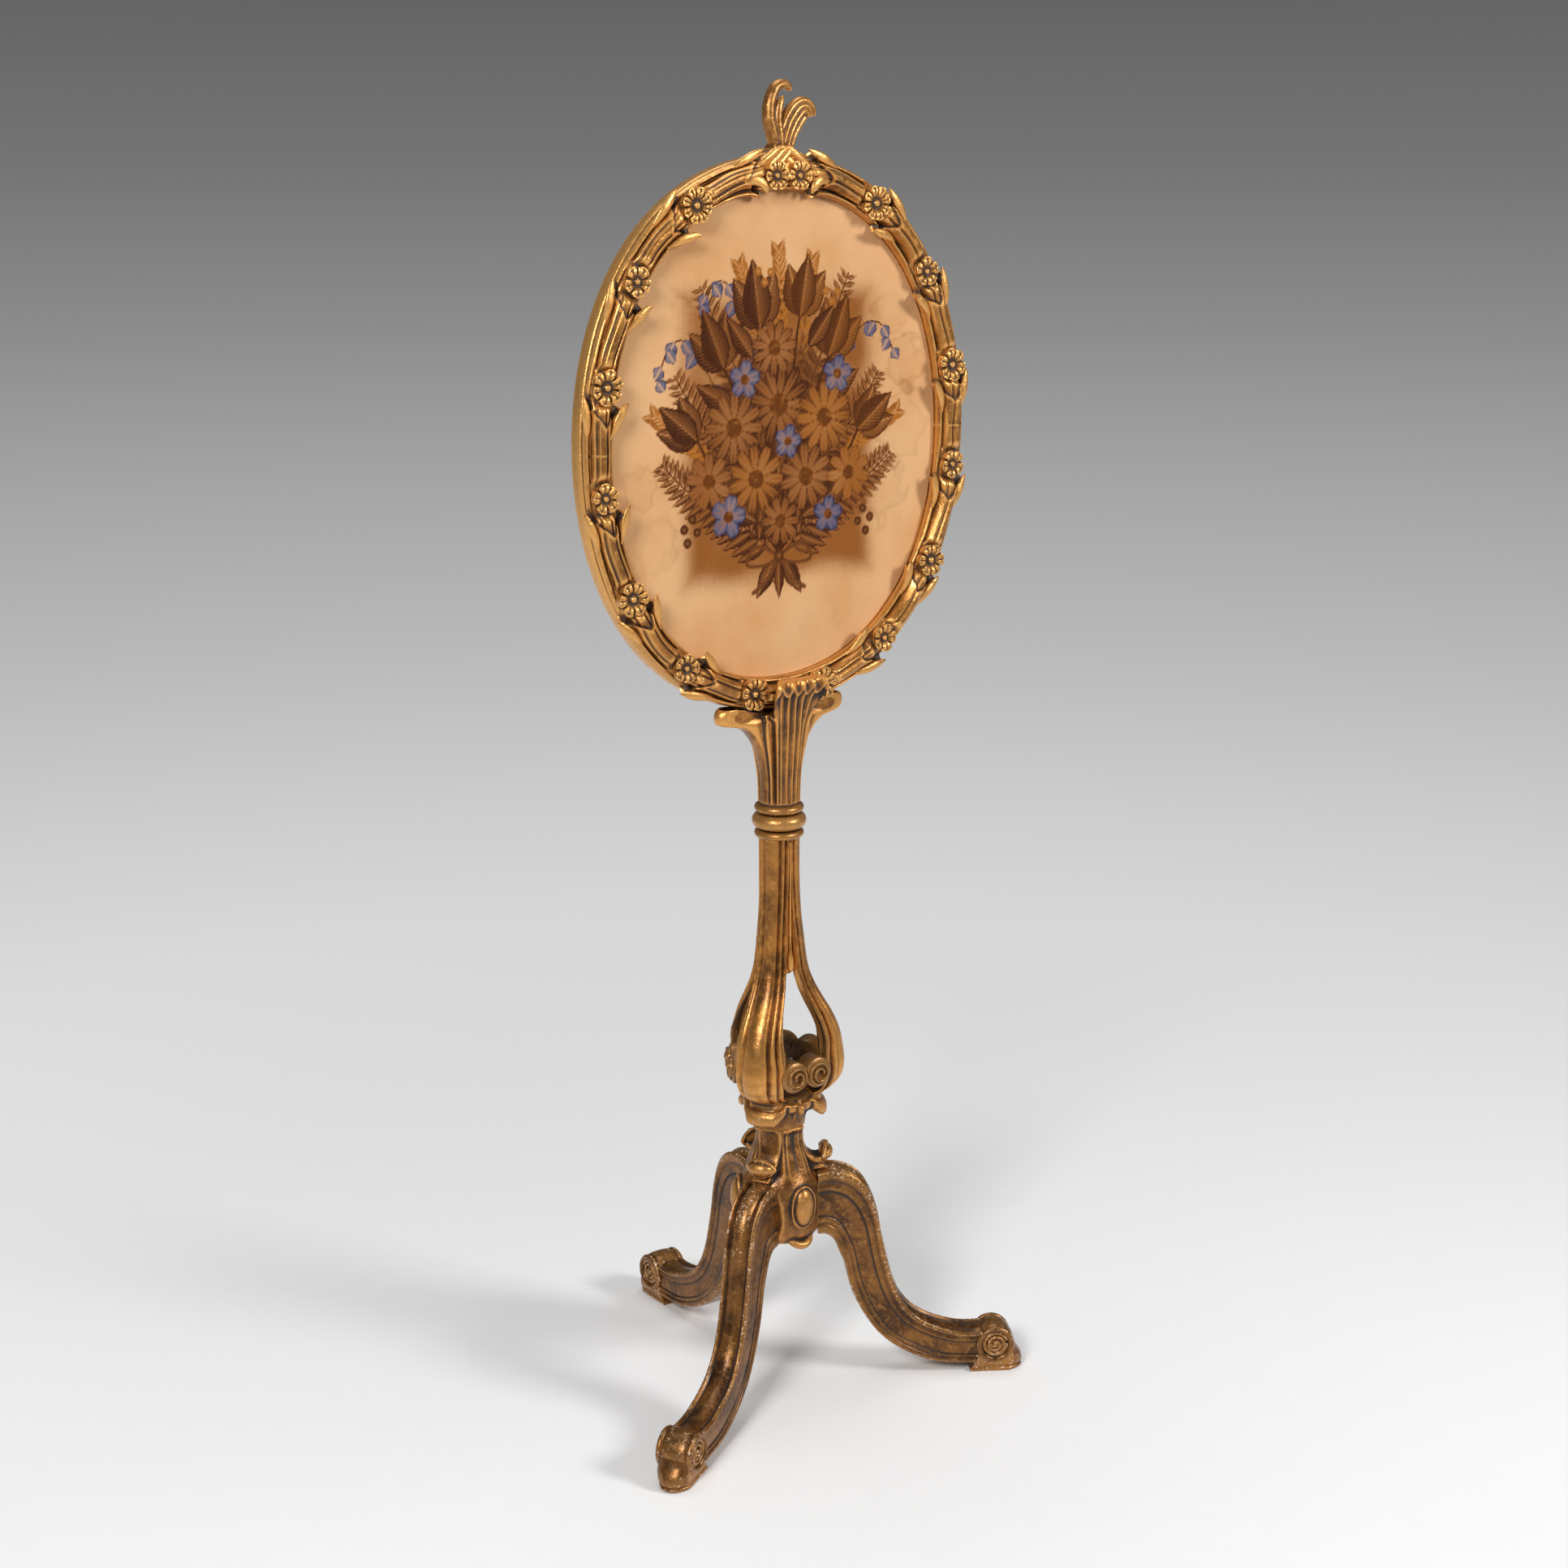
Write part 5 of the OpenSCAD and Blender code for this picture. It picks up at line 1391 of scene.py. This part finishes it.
def painted_cloth(count=296):
    """Oval cloth stretched on its strainer, painted point by point."""
    g = np.linspace(-1, 1, count + 1)
    u, v = np.meshgrid(g, g, indexing="ij")
    dx, dz = u * np.sqrt(1 - v * v / 2), v * np.sqrt(1 - u * u / 2)
    reach = np.hypot(dx, dz)
    rim_x, rim_z = oval_point(np.degrees(np.arctan2(dx, dz)), -EDGE_COVER)
    x, z = rim_x * reach, OVAL_Z + (rim_z - OVAL_Z) * reach
    slack = 0.35 * seeded_noise(x, z, 120, 3) * (1 - step(reach, 0.8, 0.98))
    face = xyz(x, slack - CLOTH_CLEAR, z).reshape(-1, 3)
    k = count + 1
    i, j = np.meshgrid(np.arange(count), np.arange(count), indexing="ij")
    a = i * k + j
    faces = np.stack([a, a + k, a + k + 1, a + 1], -1).reshape(-1, 4).tolist()
    edge = np.arange(k)
    rim = np.concatenate([edge[:-1] * k, count * k + edge[:-1], edge[:0:-1] * k + count, edge[:0:-1]])
    back = face[rim] * [1, 0, 1] + [0, CLOTH_T, 0]
    first = len(face)
    centre = first + len(rim)
    for m in range(len(rim)):
        nxt = (m + 1) % len(rim)
        faces.append([int(rim[m]), int(rim[nxt]), first + nxt, first + m])
        faces.append([first + m, first + nxt, centre])
    verts = np.vstack([face, back, [[0, CLOTH_T, OVAL_Z]]])
    obj = piece("cloth_stretched", [(verts, faces)])
    p = Painting(x, z - OVAL_Z)
    paint_sheaf(p)
    rows = np.stack([p.sepia, p.blue, p.ochre, p.scorch], -1).reshape(-1, 4)
    rows = np.vstack([rows, np.tile(BACK_PAINT, (len(rim) + 1, 1))])
    store = obj.data.attributes.new("paint", "FLOAT_COLOR", "POINT")
    store.data.foreach_set("color", rows.astype(np.float32).ravel())
    finish_piece(obj, "screen", cloth_finish(), "painted_cloth")
    ring = np.stack(oval_point(np.arange(0, 360, 0.5), -EDGE_COVER), -1) * MM
    nxt = np.roll(ring, -1, 0)


# The object

for index, node in enumerate(("leg_rear", "leg_left", "leg_right")):
    leg(index, node)
hub()
pendant()
shell_collar()
for index, node in enumerate(("stem_rear", "stem_left", "stem_right")):
    stem(index, node)
pole_core()
ring_collar()
capital()
upper = [m for m in CALYX_ARCS if m < MIDDLE_ARC]
lower = [m for m in CALYX_ARCS if m >= MIDDLE_ARC]
frame_half("frame_lower_carved", "frame_lower_half", 90, 270, lower)
frame_half("frame_upper_carved", "frame_upper_half", -90, 90, upper, crest())
flowers()
finial()
painted_cloth()

# CAD nodes that show as they are, with their finishes
JOINERY = ("leg_dowels", "neck_dowel", "stem_dowels", "screen_peg", "capital_dowel", "frame_dowels",
           "finial_dowel", "strainer")
finishes = {node: bare_wood for node in JOINERY}
finishes.update(backboard=board_wood, backboard_pins=iron, leather_washer=leather)
for node, material in finishes.items():
    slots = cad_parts[node].data.materials
    slots.clear()
    slots.append(material)


# Floor, light and camera, in metres

FLOOR_R = 4.0
# Where the floor starts to melt into the backdrop and where it has gone
FLOOR_FADE = (0.35, 1.9)
EVEN_LIGHT = 0.15
# Slopes of sight between which the backdrop fades, and its levels at shares of the way
FADE_FROM, FADE_TO = -0.55, 0.08
FADE = ((0.0, 0.95), (0.16, 0.95), (0.25, 0.84), (0.35, 0.72), (0.46, 0.61), (0.56, 0.49), (0.67, 0.376),
        (0.77, 0.262), (0.87, 0.177), (1.0, 0.115))
CAMERA_PLACE = (-1.534, -1.937, 1.338)
CAMERA_TURN = math.radians(38.5)
CAMERA_TILT = math.radians(14.56)
CAMERA_LENS = 54.8
SENSOR_WIDTH = 36


def floor():
    """White floor that keeps the shadow and melts into the backdrop away from the object."""
    mesh = bpy.data.meshes.new("floor")
    rim = polar(FLOOR_R, circle(64), 0.0)
    mesh.from_pydata(rim.tolist(), [], [list(range(len(rim)))])
    n = material_nodes("floor")
    far = n.new("VectorMath", Vector=n.place["Object"])
    far.operation = "LENGTH"
    speck = n.noise(30, 3, 0.5)
    n.set(Base_Color=n.mix(speck, (0.93, 0.93, 0.93), (0.95, 0.95, 0.95)), Roughness=0.85,
          Alpha=n.ramp(far.outputs["Value"], *FLOOR_FADE, 1.0, 0.0), Specular_IOR_Level=0.1)
    mesh.materials.append(n.owner)
    shown("floor", mesh)


def backdrop():
    """Backdrop seen directly and in gloss, grey above and white below the horizon; even grey light."""
    n = Nodes(bpy.data.worlds.new("studio"), "Background")
    n.set(Color=(EVEN_LIGHT, EVEN_LIGHT, EVEN_LIGHT, 1))
    slope = n.new("SeparateXYZ", Vector=n.place["Generated"]).outputs["Z"]
    spread = n.new("MapRange", Value=slope, From_Min=FADE_FROM, From_Max=FADE_TO)
    fade = n.new("ValToRGB", Fac=spread.outputs["Result"])
    fade.color_ramp.interpolation = "LINEAR"
    for k, (where, level) in enumerate(FADE):
        stop = fade.color_ramp.elements[k] if k < 2 else fade.color_ramp.elements.new(where)
        stop.position = where
        stop.color = (level, level, level, 1)
    seen = n.new("Background", Color=fade.outputs["Color"])
    ray = n.new("LightPath").outputs
    either = n.new("MixShader", Fac=n.math("MAXIMUM", ray["Is Camera Ray"], ray["Is Glossy Ray"]))
    n.put(n.shader.outputs["Background"], either.inputs[1])
    n.put(seen.outputs["Background"], either.inputs[2])
    n.put(either.outputs["Shader"], n.tree.nodes["World Output"].inputs["Surface"])
    bpy.context.scene.world = n.owner


def lamp(name, place, target, size, watts):
    """Soft square lamp that faces a point."""
    data = bpy.data.lights.new(name, "AREA")
    data.size = size
    data.energy = watts
    obj = shown(name, data)
    obj.location = place
    obj.rotation_euler = (Vector(target) - Vector(place)).to_track_quat("-Z", "Y").to_euler()


def camera():
    """Camera to the left of the screen's face, which looks down a little, as in the photograph."""
    data = bpy.data.cameras.new("camera")
    data.sensor_width = SENSOR_WIDTH
    data.lens = CAMERA_LENS
    obj = shown("camera", data)
    obj.location = CAMERA_PLACE
    obj.rotation_euler = (math.pi / 2 - CAMERA_TILT, 0, -CAMERA_TURN)
    bpy.context.scene.camera = obj


floor()
lamp("key_left", (-2.6, -1.5, 2.4), (0, 0, 0.75), size=0.9, watts=76)
lamp("key_right", (1.6, -2.8, 2.3), (0, 0, 0.75), size=0.9, watts=70)
lamp("top", (0.2, 0.4, 3.6), (0, 0, 0.6), size=1.8, watts=30)
camera()
backdrop()
bpy.context.scene.view_settings.view_transform = "Standard"
